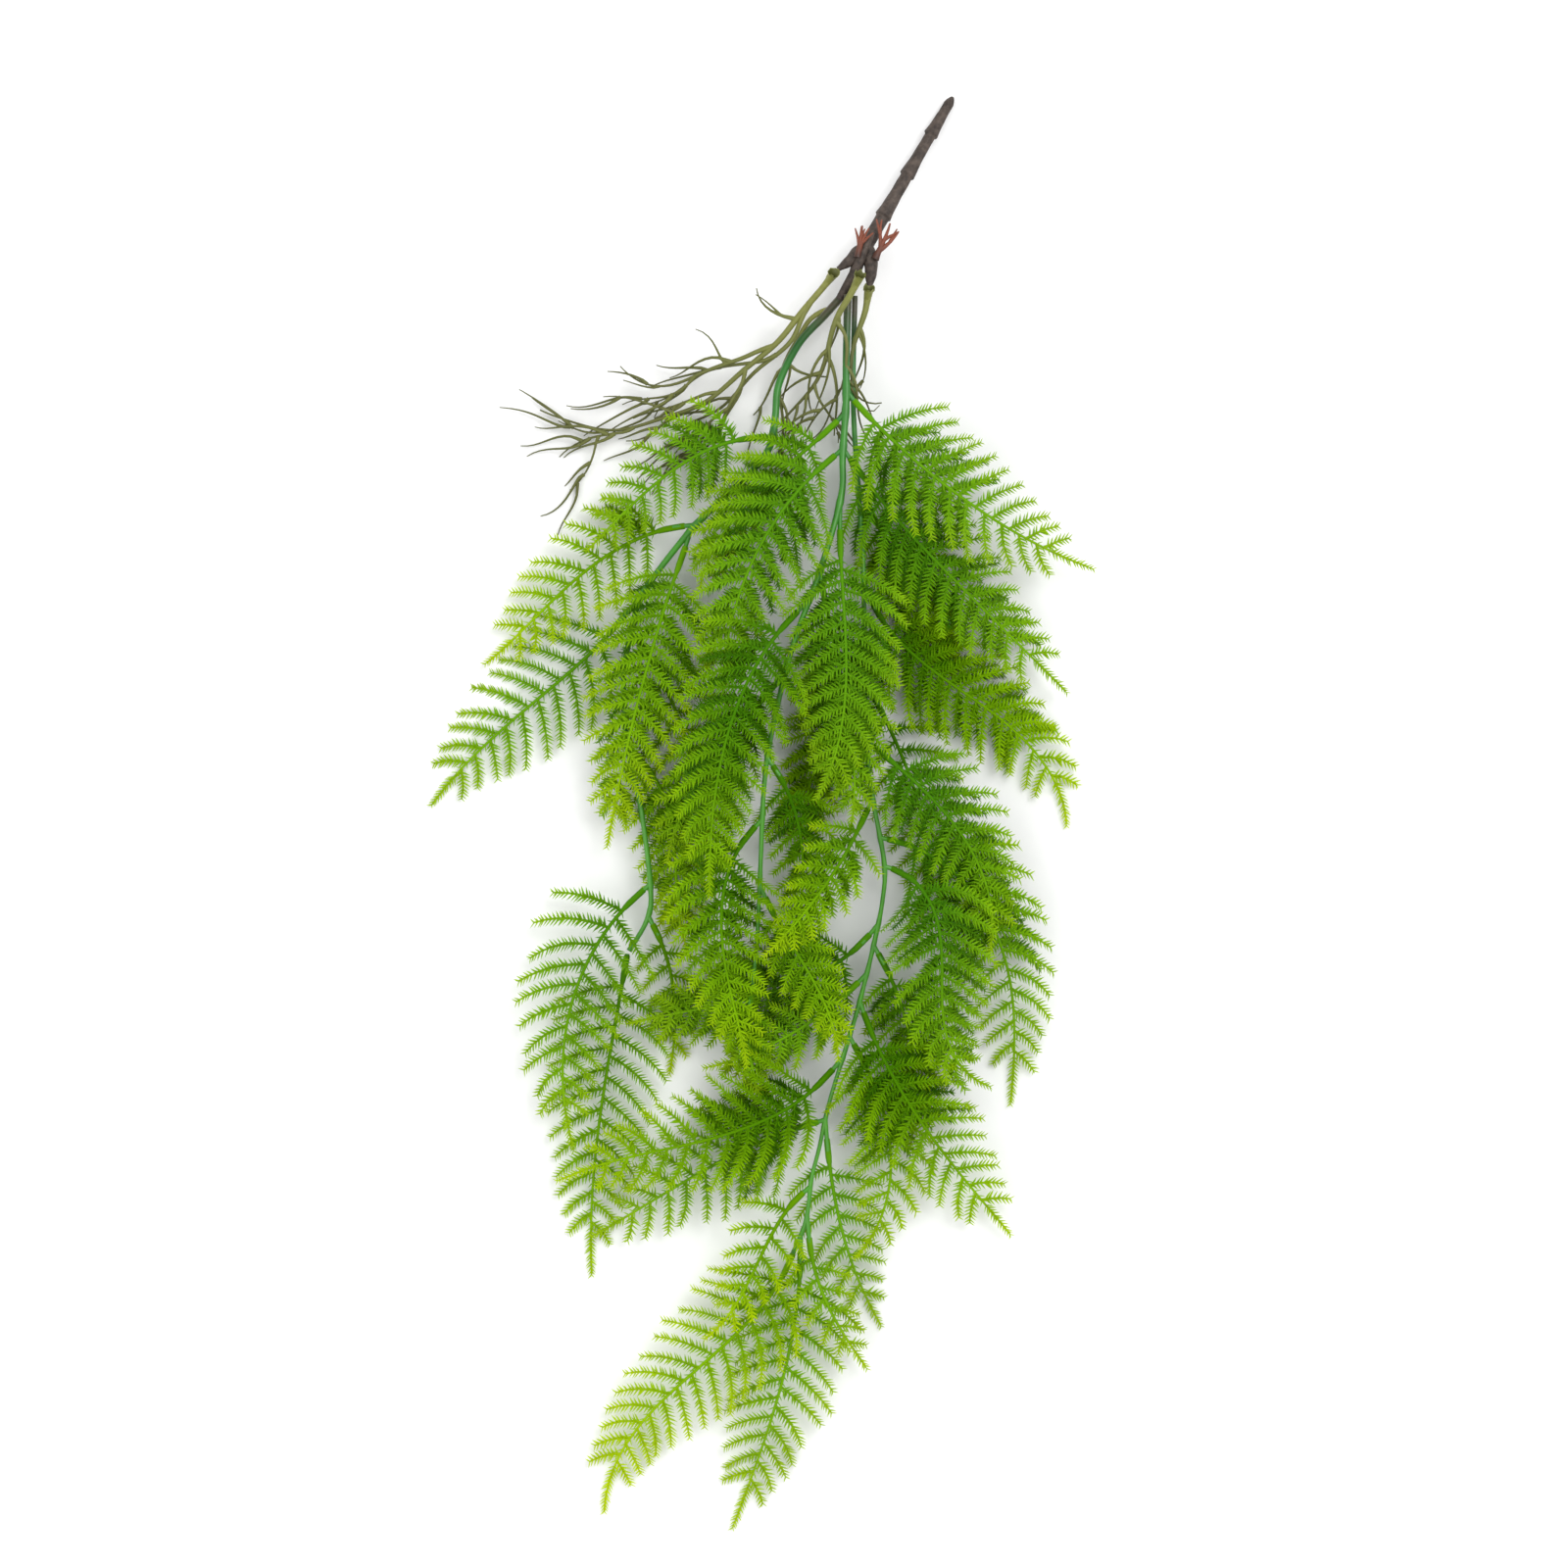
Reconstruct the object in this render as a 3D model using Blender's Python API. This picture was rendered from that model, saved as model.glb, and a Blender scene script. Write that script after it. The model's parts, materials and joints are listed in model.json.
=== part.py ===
"""Artificial hanging fern: a plastic spray of needle-leaved fronds, laid flat on a table.

A ribbed brown stem fans out into three green trailing stems and four sprays of
aerial roots. Soft moulded fronds are slipped on pegs along the trailing stems.
Units are metres, +Z is up, and the brown stem's tip points to +Y. The origin is
on the table under the middle of the spray.
"""

import math

import bmesh
import bpy
from mathutils import Vector

MM = 0.001

# Overall shape of the heap that the fronds make when the spray lies down.
LAYER_PITCH = 0.0088
FLOOR_GAP = 0.0014
HEART = Vector((0.030, 0.040))
HALF_WIDTH = 0.115
UPPER_REACH = 0.190
LOWER_REACH = 0.240
RIM = 0.36

# Fronds.
SOCKET_RADIUS = 0.0019
SOCKET_LENGTH = 0.016
RACHIS_RADIUS = 0.0012
RACHIS_TIP_RADIUS = 0.0008
PINNA_HALF_THICKNESS = 0.0009
PINNA_HALF_WIDTH = 0.0030
PINNA_PITCH = 0.0170
PINNA_LENGTH = 0.040
PINNA_DROOP = 0.0035
RISE_LENGTH = 0.036
TIP_DROP_START = 0.45
BARE_TIP = 0.16

# Green trailing stems.
STEM_SIDES = 6
STEM_STEP = 0.022
FIT_GAP = 0.0004
CROWN_REACH = 0.050

# Brown stem.
SHAFT_SIDES = 10
SHAFT_TIP = Vector((0.1075, 0.3975, 0.0032))
SHAFT_CROWN = Vector((0.0590, 0.3120, 0.0240))

# Roots.
ROOT_STEP = 0.014


def wipe_scene():
    """Remove every object the file opens with."""
    for old in list(bpy.data.objects):
        bpy.data.objects.remove(old, do_unlink=True)


def plastic(name, colour, roughness):
    """One solid-coloured moulded plastic."""
    made = bpy.data.materials.new(name)
    made.use_nodes = True
    shader = made.node_tree.nodes["Principled BSDF"]
    shader.inputs["Base Color"].default_value = (*colour, 1.0)
    shader.inputs["Roughness"].default_value = roughness
    shader.inputs["Metallic"].default_value = 0.0
    made.diffuse_color = (*colour, 1.0)
    return made


def heap_depth(x, y):
    """Depth of the heap at (x, y): 1 over its heart, falling to RIM at its edge."""
    across = (x - HEART.x) / HALF_WIDTH
    reach = UPPER_REACH if y > HEART.y else LOWER_REACH
    along = (y - HEART.y) / reach
    distance = math.hypot(across, along)
    return RIM + (1.0 - RIM) / (1.0 + distance**3)


def layer_height(x, y, level):
    """Height of one layer of the heap, counted up from the table."""
    return FLOOR_GAP + level * LAYER_PITCH * heap_depth(x, y)


def ease(value):
    """Smooth step from 0 to 1."""
    value = min(1.0, max(0.0, value))
    return value * value * (3.0 - 2.0 * value)


def smooth_route(points, step):
    """Even points along a smooth curve that passes through the given points."""
    padded = [points[0] * 2 - points[1], *points, points[-1] * 2 - points[-2]]
    dense = []
    for before, here, after, beyond in zip(padded, padded[1:], padded[2:], padded[3:]):
        for count in range(12):
            t = count / 12
            dense.append(
                0.5
                * (
                    here * 2
                    + (after - before) * t
                    + (before * 2 - here * 5 + after * 4 - beyond) * t**2
                    + (here * 3 - before - after * 3 + beyond) * t**3
                )
            )
    dense.append(points[-1].copy())
    lengths = [0.0]
    for one, two in zip(dense, dense[1:]):
        lengths.append(lengths[-1] + (two - one).length)
    count = max(2, round(lengths[-1] / step))
    even = []
    index = 0
    for stop in range(count + 1):
        target = lengths[-1] * stop / count
        while index < len(dense) - 2 and lengths[index + 1] < target:
            index += 1
        share = (target - lengths[index]) / max(1e-9, lengths[index + 1] - lengths[index])
        even.append(dense[index].lerp(dense[index + 1], min(1.0, share)))
    return even


def heading_at(t, headings):
    """Heading in radians at share t of a path that has three given headings in degrees."""
    first, middle, last = headings
    slope = -3 * first + 4 * middle - last
    curve = 2 * first - 4 * middle + 2 * last
    return math.radians(first + slope * t + curve * t * t)


def walk(start, headings, length, steps):
    """Plan points of a path that sets off from start and turns through the headings."""
    points = [start.copy()]
    for count in range(steps):
        angle = heading_at((count + 0.5) / steps, headings)
        stride = Vector((math.cos(angle), math.sin(angle))) * (length / steps)
        points.append(points[-1] + stride)
    return points


def side_frame(direction):
    """Sideways and upward unit vectors of a section across a direction."""
    flat = Vector((-direction.y, direction.x, 0.0))
    sideways = flat.normalized() if flat.length > 1e-6 else Vector((1.0, 0.0, 0.0))
    return sideways, direction.cross(sideways).normalized()


def ring_places(centre, direction, radius, sides, squash=1.0):
    """Corner places of a section, first corner at the lower right."""
    sideways, upward = side_frame(direction)
    places = []
    for corner in range(sides):
        angle = 2 * math.pi * (corner + 0.5) / sides - math.pi / 2
        places.append(
            centre
            + sideways * (-math.cos(angle) * radius)
            + upward * (math.sin(angle) * radius * squash)
        )
    return places


def directions_of(points):
    """Direction of a route at each of its points."""
    found = []
    for index in range(len(points)):
        before = points[max(0, index - 1)]
        after = points[min(len(points) - 1, index + 1)]
        found.append((after - before).normalized())
    return found


def best_turn(corners, centre, places, target):
    """The cyclic order of places that turns a section's corners the least."""
    found = []
    for ring in (places, places[::-1]):
        for turn in range(len(ring)):
            turned = ring[turn:] + ring[:turn]
            cost = 0.0
            for corner, place in zip(corners, turned):
                cost += ((corner.co - centre) - (place - target)).length
            found.append((cost, len(found), turned))
    return min(found)[2]


def grow_tube(mesh, points, radii, sides):
    """A tapered tube along points, closed at both ends. Returns its end face."""
    directions = directions_of(points)
    ring = bmesh.ops.create_circle(mesh, cap_ends=True, segments=sides, radius=1.0)["verts"]
    places = ring_places(points[0], directions[0], radii[0], sides)
    for vert, place in zip(ring, places):
        vert.co = place
    face = ring[0].link_faces[0]
    face.normal_update()
    if face.normal.dot(directions[0]) < 0:
        face.normal_flip()
    order = list(ring)
    for index in range(1, len(points)):
        corners = [vert.co.copy() for vert in order]
        if index == 1:
            made = bmesh.ops.extrude_face_region(mesh, geom=[face])["geom"]
            face = next(item for item in made if isinstance(item, bmesh.types.BMFace))
        else:
            face = bmesh.ops.extrude_discrete_faces(mesh, faces=[face])["faces"][0]
        verts = list(face.verts)
        order = [min(verts, key=lambda v: (v.co - corner).length) for corner in corners]
        places = ring_places(points[index], directions[index], radii[index], sides)
        for vert, place in zip(order, places):
            vert.co = place
    return face


def side_face_near(mesh, place, direction):
    """The face of the mesh nearest a place that looks along a direction."""
    mesh.normal_update()
    looking = [f for f in mesh.faces if f.normal.dot(direction) > 0.45 and len(f.verts) == 4]
    return min(looking, key=lambda f: (f.calc_center_median() - place).length)


def grow_branch(mesh, face, points, radii):
    """Extrude a square side face along a route, tapering as it goes."""
    directions = directions_of(points)
    for point, direction, radius in zip(points[1:], directions[1:], radii[1:]):
        face = bmesh.ops.extrude_discrete_faces(mesh, faces=[face])["faces"][0]
        corners = list(face.verts)
        places = ring_places(point, direction, radius, 4)
        order = best_turn(corners, face.calc_center_median(), places, point)
        for corner, place in zip(corners, order):
            corner.co = place
    return face


def finish(mesh, name, material, sharp=40.0):
    """Turn a working mesh into a smooth-shaded object with its material."""
    bmesh.ops.recalc_face_normals(mesh, faces=mesh.faces[:])
    if mesh.calc_volume(signed=True) < 0.0:
        bmesh.ops.reverse_faces(mesh, faces=mesh.faces[:])
    data = bpy.data.meshes.new(name)
    mesh.to_mesh(data)
    mesh.free()
    data.materials.append(material)
    data.shade_smooth()
    data.set_sharp_from_angle(angle=math.radians(sharp))
    made = bpy.data.objects.new(name, data)
    bpy.context.scene.collection.objects.link(made)
    return made


# Routes of the three green stems in plan, in millimetres, from the crown down.
STEMS = {
    "left": {
        "level": 2.6,
        "crown": 21.0,
        "thick": (2.3, 1.3),
        "route": (
            (46, 285), (36, 274), (22, 259), (11, 237), (9, 219), (6, 202), (-5, 187), (-19, 174),
            (-40, 153), (-64, 121), (-70, 102), (-75, 75), (-73, 37), (-65, -1),
            (-60, -43), (-62, -60), (-73, -79),
        ),
    },
    "mid": {
        "level": 5.0,
        "crown": 27.0,
        "thick": (2.2, 1.1),
        "route": (
            (49, 285), (48, 245), (48, 226), (46, 195), (45, 172), (33, 130), (19, 92),
            (8, 48), (3, 15), (1, -28), (-1, -71), (-4, -98),
        ),
    },
    "right": {
        "level": 3.5,
        "crown": 20.5,
        "thick": (1.6, 1.1),
        "route": (
            (53, 285), (52, 231), (54, 188), (57, 145), (58, 102), (59, 50), (60, 25),
            (63, 5), (69, -29), (68, -49), (64, -70), (56, -103), (49, -127),
            (39, -160), (33, -187), (29, -203), (26, -226), (19, -244),
        ),
    },
}

# Fronds: share of the way down their stem, length in millimetres, plan headings in
# degrees at base, middle and tip, layer of the heap, and how far the tip comes down.
FRONDS = {
    "left": (
        (0.22, 120, (-178, -143, -135), 3.8, 0.1),
        (0.38, 135, (-175, -140, -140), 2.3, 0.5),
        (0.39, 170, (-108, -105, -100), 5.4, 0.45),
        (0.50, 152, (-130, -140, -125), 0.6, 0.9),
        (0.55, 150, (-55, -75, -85), 0.8, 0.2),
        (0.71, 115, (-40, -85, -70), 1.9, 0.1),
        (0.90, 155, (-140, -105, -75), 3.7, 0.1),
        (1.00, 180, (-100, -98, -87), 1.5, 1.0),
        (0.94, 85, (-62, -85, -100), 0.8, 0.9),
    ),
    "mid": (
        (0.14, 160, (-50, -35, -20), 6.2, 0.4),
        (0.22, 175, (-55, -45, -45), 4.3, 0.4),
        (0.22, 150, (-140, -115, -90), 6.3, 0.1),
        (0.30, 150, (-90, -90, -120), 5.8, 0.2),
        (0.44, 165, (-135, -105, -90), 7.3, 0.05),
        (0.40, 135, (-80, -80, -100), 4.4, 0.0),
        (0.55, 115, (-130, -125, -100), 3.9, 0.2),
        (0.67, 100, (-55, -85, -105), 3.1, 0.0),
        (0.76, 135, (-135, -85, -80), 6.0, 0.05),
        (1.00, 60, (-100, -85, -75), 4.4, 0.0),
        (0.85, 95, (-65, -60, -85), 5.4, 0.0),
        (0.17, 122, (-135, -135, -100), 4.6, 0.0),
    ),
    "right": (
        (0.30, 170, (-65, -35, -85), 2.1, 0.9),
        (0.20, 120, (-60, -65, -90), 1.8, 0.6),
        (0.46, 135, (-40, -55, -100), 5.0, 0.05),
        (0.56, 180, (-10, -70, -95), 4.1, 1.0),
        (0.59, 140, (-15, -90, -20), 6.2, 0.1),
        (0.73, 150, (-70, -55, -50), 5.1, 0.7),
        (0.65, 145, (-130, -165, -165), 2.3, 0.1),
        (0.79, 165, (-130, -165, -155), 5.2, 0.4),
        (0.86, 140, (-165, -150, -150), 2.7, 0.5),
        (0.86, 110, (-85, -75, -60), 2.1, 1.0),
        (0.77, 125, (-60, -85, -130), 3.7, 0.4),
        (0.93, 95, (-140, -115, -140), 5.0, 0.1),
        (1.00, 184, (-110, -138, -92), 3.5, 1.0),
        (0.98, 159, (-90, -105, -110), 2.5, 1.0),
        (0.96, 80, (-85, -65, -55), 4.3, 0.5),
        (0.52, 95, (-115, -125, -135), 7.0, 0.0),
        (0.34, 120, (-105, -110, -90), 1.5, 0.3),
        (0.40, 130, (-60, -75, -105), 0.7, 0.6),
        (0.67, 110, (-60, -80, -100), 2.7, 0.3),
        (0.70, 95, (-135, -150, -165), 3.7, 0.0),
    ),
}


def build_stem(name, plan, material):
    """One green trailing stem. Returns its smooth centre line for the fronds."""
    corners = [Vector((x * MM, y * MM)) for x, y in plan["route"]]
    line = smooth_route(corners, 0.002)
    places = []
    radii = []
    thick, thin = plan["thick"]
    coarse = smooth_route(corners, STEM_STEP)
    for index, spot in enumerate(coarse):
        share = index / (len(coarse) - 1)
        height = layer_height(spot.x, spot.y, plan["level"])
        settled = ease((coarse[0].y - spot.y) / CROWN_REACH)
        height = plan["crown"] * MM * (1.0 - settled) + height * settled
        places.append(Vector((spot.x, spot.y, height)))
        radii.append((thick + (thin - thick) * share**0.7) * MM)
    mesh = bmesh.new()
    grow_tube(mesh, places, radii, STEM_SIDES)
    finish(mesh, name, material)
    return line, thick * MM, thin * MM


def frond_blank(length, socket):
    """A flat frond along +X with its side shoots swept forward, before it is laid."""
    mesh = bmesh.new()
    last = length * (1.0 - BARE_TIP)
    pairs = max(3, round((last - socket) / PINNA_PITCH))
    pitch = (last - socket) / pairs
    stations = [(0.0, SOCKET_RADIUS), (socket * 0.8, SOCKET_RADIUS)]
    roots = []
    for pair in range(pairs):
        share = (socket + pitch * pair) / length
        width = RACHIS_RADIUS + (RACHIS_TIP_RADIUS - RACHIS_RADIUS) * share
        begin = socket + pitch * (pair + 0.1)
        stations.append((begin, width))
        stations.append((begin + 2 * PINNA_HALF_WIDTH, width))
        roots.append((begin + PINNA_HALF_WIDTH, share))
    stations.append((length, RACHIS_TIP_RADIUS))
    points = [Vector((s, 0.0, 0.0)) for s, _ in stations]
    radii = [r * math.sqrt(2.0) for _, r in stations]
    grow_tube(mesh, points, radii, 4)
    mesh.normal_update()
    for root, share in roots:
        swell = 0.78 + 0.62 * share - 1.15 * share**2.2
        reach = PINNA_LENGTH * min(1.0, length / 0.150) * swell
        for side in (-1.0, 1.0):
            grow_pinna(mesh, root, side, reach, share)
    return mesh


def grow_pinna(mesh, root, side, reach, share):
    """Extrude one side shoot out of the rachis in one or two tapered steps."""
    face = min(
        (f for f in mesh.faces if f.normal.y * side > 0.8 and abs(f.normal.x) < 0.3),
        key=lambda f: abs(f.calc_center_median().x - root),
    )
    steps = 2 if reach > 0.030 else 1
    for step in range(1, steps + 1):
        part = step / steps
        face = bmesh.ops.extrude_discrete_faces(mesh, faces=[face])["faces"][0]
        middle = face.calc_center_median()
        forward = reach * (0.52 + 0.25 * share) * part**1.35
        across = reach * (0.86 - 0.20 * share) * part**0.9
        half_width = PINNA_HALF_WIDTH * (1.0 - 0.55 * part**2)
        for corner in face.verts:
            offset = corner.co - middle
            corner.co = Vector(
                (
                    root + forward + math.copysign(half_width, offset.x),
                    side * (RACHIS_RADIUS + across),
                    math.copysign(PINNA_HALF_THICKNESS, offset.z),
                )
            )
        face.normal_update()


def lay_frond(mesh, start, headings, length, base_level, level, drop):
    """Bend a flat frond along its route and drape it over the layers of the heap."""
    steps = 60
    route = walk(start, headings, length, steps)
    for vert in mesh.verts:
        s, v, w = vert.co
        t = min(1.0, max(0.0, s / length))
        place = t * steps
        low = min(steps - 1, int(place))
        spot = route[low].lerp(route[low + 1], place - low)
        angle = heading_at(t, headings)
        spot = spot + Vector((-math.sin(angle), math.cos(angle))) * v
        here = base_level + (level - base_level) * ease(s / RISE_LENGTH)
        height = layer_height(spot.x, spot.y, here) - FLOOR_GAP
        height *= 1.0 - drop * ease((t - TIP_DROP_START) / (1.0 - TIP_DROP_START))
        height -= PINNA_DROOP * (abs(v) / PINNA_LENGTH) ** 2
        floor = 0.0 if w < 0 else 0.0012
        vert.co = Vector((spot.x, spot.y, max(floor, FLOOR_GAP + height + w)))


def build_frond(name, line, thick, thin, base_level, plan, material):
    """One frond, starting just clear of its stem."""
    at, length, headings, level, drop = plan
    length *= MM
    index = min(len(line) - 1, round(at * (len(line) - 1)))
    radius = thick + (thin - thick) * at**0.7
    angle = math.radians(headings[0])
    outward = Vector((math.cos(angle), math.sin(angle)))
    along = (line[min(len(line) - 1, index + 1)] - line[max(0, index - 2)]).normalized()
    slant = abs(along.x * outward.y - along.y * outward.x)
    if at > 0.995:
        clear = FIT_GAP + 0.0004
    else:
        clear = (radius + SOCKET_RADIUS) / max(0.25, slant) + FIT_GAP
    start = line[index] + outward * clear
    socket = SOCKET_LENGTH * min(1.0, length / 0.120)
    mesh = frond_blank(length, socket)
    lay_frond(mesh, start, headings, length, base_level, level, drop)
    finish(mesh, name, material)


# Root sprays. A strand is (parent strand, share of the parent, length in mm, plan
# headings, radius at base and tip in mm, height of its tip in mm).
ROOTS = {
    "root_spray_left": {
        "start": (40.5, 295.5, 26.0),
        "strands": (
            (None, 0.0, 196, (-128, -150, -212), 1.7, 0.6, 4.0),
            (0, 0.26, 74, (-172, -160, -235), 0.9, 0.5, 9.0),
            (1, 0.50, 44, (-128, -170, -150), 0.7, 0.5, 5.0),
            (0, 0.16, 22, (-195, -220, -262), 0.8, 0.5, 24.0),
            (0, 0.46, 50, (-180, -165, -150), 0.8, 0.5, 5.0),
            (0, 0.60, 42, (-225, -190, -175), 0.7, 0.5, 8.0),
            (0, 0.72, 46, (-140, -172, -130), 0.7, 0.5, 2.5),
            (0, 0.36, 60, (-95, -118, -125), 0.9, 0.5, 3.0),
        ),
    },
    "root_spray_mid": {
        "start": (55.0, 293.0, 35.5),
        "strands": (
            (None, 0.0, 88, (-118, -112, -140), 1.7, 0.6, 9.0),
            (0, 0.52, 44, (-45, -95, -85), 0.9, 0.5, 12.0),
            (0, 0.62, 26, (-168, -150, -120), 0.8, 0.5, 8.0),
            (0, 0.30, 56, (-45, -80, 10), 0.9, 0.5, 24.0),
            (3, 0.66, 22, (-40, -50, 70), 0.6, 0.5, 26.0),
        ),
    },
    "root_spray_right": {
        "start": (60.5, 287.0, 26.0),
        "strands": (
            (None, 0.0, 52, (-100, -102, -92), 1.6, 0.7, 24.0),
            (0, 0.40, 34, (-62, -95, -118), 0.8, 0.5, 8.0),
        ),
    },
    "root_spray_dark": {
        "start": (33.0, 276.0, 15.0),
        "strands": (
            (None, 0.0, 92, (-172, -95, -108), 1.5, 0.6, 3.0),
            (0, 0.45, 30, (-150, -120, -128), 0.8, 0.5, 4.0),
            (0, 0.40, 26, (-50, -20, -10), 0.8, 0.5, 9.0),
        ),
    },
    "rootlet_left": {
        "start": (52.6, 306.0, 30.5),
        "strands": (
            (None, 0.0, 17, (88, 92, 90), 1.0, 0.6, 33.0),
            (0, 0.40, 13, (60, 68, 62), 0.8, 0.5, 34.5),
        ),
    },
    "rootlet_right": {
        "start": (66.0, 305.0, 30.5),
        "strands": (
            (None, 0.0, 21, (75, 62, 68), 1.1, 0.6, 33.0),
            (0, 0.40, 14, (40, 42, 46), 0.9, 0.5, 31.5),
        ),
    },
}


def build_roots(name, plan, material):
    """One spray of aerial roots, all its strands grown out of the first."""
    mesh = bmesh.new()
    lines = []
    for parent, share, length, headings, thick, thin, tip_height in plan["strands"]:
        steps = max(3, round(length * MM / ROOT_STEP))
        if parent is None:
            start = Vector(plan["start"]) * MM
        else:
            row = lines[parent]
            place = share * (len(row) - 1)
            low = min(len(row) - 2, int(place))
            start = (row[low] + row[low + 1]) / 2
        flat = walk(start.xy, headings, length * MM, steps)
        points = []
        radii = []
        for index, spot in enumerate(flat):
            part = index / steps
            height = start.z + (tip_height * MM - start.z) * ease(part) ** 1.5
            points.append(Vector((spot.x, spot.y, height)))
            radii.append((thick + (thin - thick) * part) * MM)
        if parent is None:
            grow_tube(mesh, points, [r * 1.1 for r in radii], 4)
        else:
            outward = (points[1] - points[0]).normalized()
            face = side_face_near(mesh, start, outward)
            grow_branch(mesh, face, points, radii)
        lines.append(points)
    finish(mesh, name, material, 60.0)


def build_main_stem(material):
    """The brown stem: overlapping node rings, a swollen crown and three short legs."""
    axis = (SHAFT_CROWN - SHAFT_TIP).normalized()
    length = (SHAFT_CROWN - SHAFT_TIP).length
    profile = [(-0.0008, 0.0012), (0.0, 0.0024), (0.003, 0.0029)]
    for ring in (0.20, 0.50, 0.80):
        swell = 0.0030 + 0.0009 * ring
        profile.append((length * ring - 0.0012, swell))
        profile.append((length * ring, swell + 0.0006))
        profile.append((length * ring + 0.0022, swell + 0.0001))
    profile.append((length - 0.004, 0.0040))
    profile.append((length + 0.004, 0.0046))
    points = [SHAFT_TIP + axis * along for along, _ in profile]
    radii = [radius for _, radius in profile]
    mesh = bmesh.new()
    points = [Vector((p.x, p.y, max(p.z, r + 0.0001))) for p, r in zip(points, radii)]
    grow_tube(mesh, points, radii, SHAFT_SIDES)
    legs = (
        ((48.0, 302.5, 26.5), (43.6, 299.5, 26.3), 3.6, 1.6),
        ((53.0, 297.0, 23.5), (49.0, 286.4, 24.0), 3.2, 3.0),
        ((61.0, 300.0, 25.0), (61.2, 290.2, 25.5), 3.9, 1.5),
    )
    crown = points[-1]
    for middle, end, broad, narrow in legs:
        middle = Vector(middle) * MM
        end = Vector(end) * MM
        face = side_face_near(mesh, crown, (middle - crown).normalized())
        route = [crown, crown.lerp(middle, 0.6), middle, middle.lerp(end, 0.7), end]
        widths = [0.003, 0.003, broad * MM, broad * MM * 0.9, narrow * MM]
        grow_branch(mesh, face, route, widths)
    finish(mesh, "main_stem", material)


def main():
    """Build every piece of the spray."""
    wipe_scene()
    brown = plastic("stem_brown", (0.089, 0.065, 0.047), 0.62)
    russet = plastic("rootlet_russet", (0.270, 0.082, 0.038), 0.55)
    olive = plastic("root_olive", (0.165, 0.158, 0.040), 0.50)
    green = plastic("stem_green", (0.050, 0.270, 0.060), 0.42)
    leaf = plastic("frond_green", (0.110, 0.330, 0.016), 0.45)
    build_main_stem(brown)
    for name, plan in ROOTS.items():
        build_roots(name, plan, russet if name.startswith("rootlet") else olive)
    for side, plan in STEMS.items():
        line, thick, thin = build_stem("stem_" + side, plan, green)
        for number, frond in enumerate(FRONDS[side], 1):
            name = f"frond_{side}_{number:02d}"
            build_frond(name, line, thick, thin, plan["level"], frond, leaf)


main()
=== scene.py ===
"""Looks of an artificial hanging fern spray that lies flat on a table.

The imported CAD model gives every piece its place. Each plain CAD piece is replaced by
its finished form: needle-covered fronds on smooth sockets, round tapering roots with
open collars, ribbed brown stem and green trailing stems with pegs. Metres, +Z up.
"""

import json
import math
from dataclasses import dataclass
from enum import Enum

import bmesh
import bpy
import numpy as np
from mathutils import Matrix, Vector

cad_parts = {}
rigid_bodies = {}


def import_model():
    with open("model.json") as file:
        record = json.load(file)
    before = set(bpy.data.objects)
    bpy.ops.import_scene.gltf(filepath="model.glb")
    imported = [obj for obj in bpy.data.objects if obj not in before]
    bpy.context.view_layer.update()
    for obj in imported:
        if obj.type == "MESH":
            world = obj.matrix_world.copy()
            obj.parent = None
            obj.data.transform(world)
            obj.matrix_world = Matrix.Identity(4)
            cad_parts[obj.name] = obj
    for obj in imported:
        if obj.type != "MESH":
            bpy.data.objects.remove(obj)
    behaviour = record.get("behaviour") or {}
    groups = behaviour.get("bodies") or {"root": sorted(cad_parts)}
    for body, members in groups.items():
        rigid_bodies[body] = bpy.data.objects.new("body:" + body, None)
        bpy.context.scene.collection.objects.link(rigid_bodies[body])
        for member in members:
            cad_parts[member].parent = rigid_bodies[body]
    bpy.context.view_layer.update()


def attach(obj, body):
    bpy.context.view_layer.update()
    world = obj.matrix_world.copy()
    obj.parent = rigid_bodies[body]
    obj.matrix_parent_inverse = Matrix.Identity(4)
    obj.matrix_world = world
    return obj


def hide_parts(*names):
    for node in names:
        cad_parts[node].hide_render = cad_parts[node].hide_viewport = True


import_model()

MM = 0.001

# Heap that the fronds make on the table, the same rule as the CAD pieces follow.
LAYER_PITCH = 0.0088
FLOOR_GAP = 0.0014
HEART = Vector((0.030, 0.040))
HALF_WIDTH = 0.115
UPPER_REACH = 0.190
LOWER_REACH = 0.240
RIM = 0.36
PINNA_DROOP = 0.0035
RISE_LENGTH = 0.036
TIP_DROP_START = 0.45
CROWN_REACH = 0.050
FIT_GAP = 0.0004
SOCKET_RADIUS = 0.0019
SEED = 31


class Slot(Enum):
    """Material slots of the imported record."""

    BROWN = "stem_brown"
    RUSSET = "rootlet_russet"
    OLIVE = "root_olive"
    GREEN = "stem_green"
    FROND = "frond_green"


@dataclass(frozen=True)
class StemPlan:
    """One green trailing stem: layer, height at the crown, radii and plan route in mm."""

    level: float
    crown: float
    thick: float
    thin: float
    route: tuple[tuple[float, float], ...]


@dataclass(frozen=True)
class FrondPlan:
    """Where one frond leaves its stem and how it lies."""

    share: float
    length: float
    headings: tuple[float, float, float]
    level: float
    drop: float


@dataclass(frozen=True)
class Strand:
    """One strand of a root spray, growing out of a share of its parent strand."""

    parent: int | None
    share: float
    length: float
    headings: tuple[float, float, float]
    thick: float
    thin: float
    tip_height: float


@dataclass(frozen=True)
class NeedleSize:
    """The flattened soft needles that cover each side shoot."""

    length: float = 0.0056
    width: float = 0.00130
    flatness: float = 0.55
    pitch: float = 0.00195
    lean: float = 62.0


@dataclass(frozen=True)
class FrondSize:
    """Sizes that all fronds share."""

    pitch: float = 0.0115
    reach: float = 0.041
    rachis: float = 0.00118
    rachis_tip: float = 0.0006
    socket: float = 0.016
    bare_tip: float = 0.13


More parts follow.
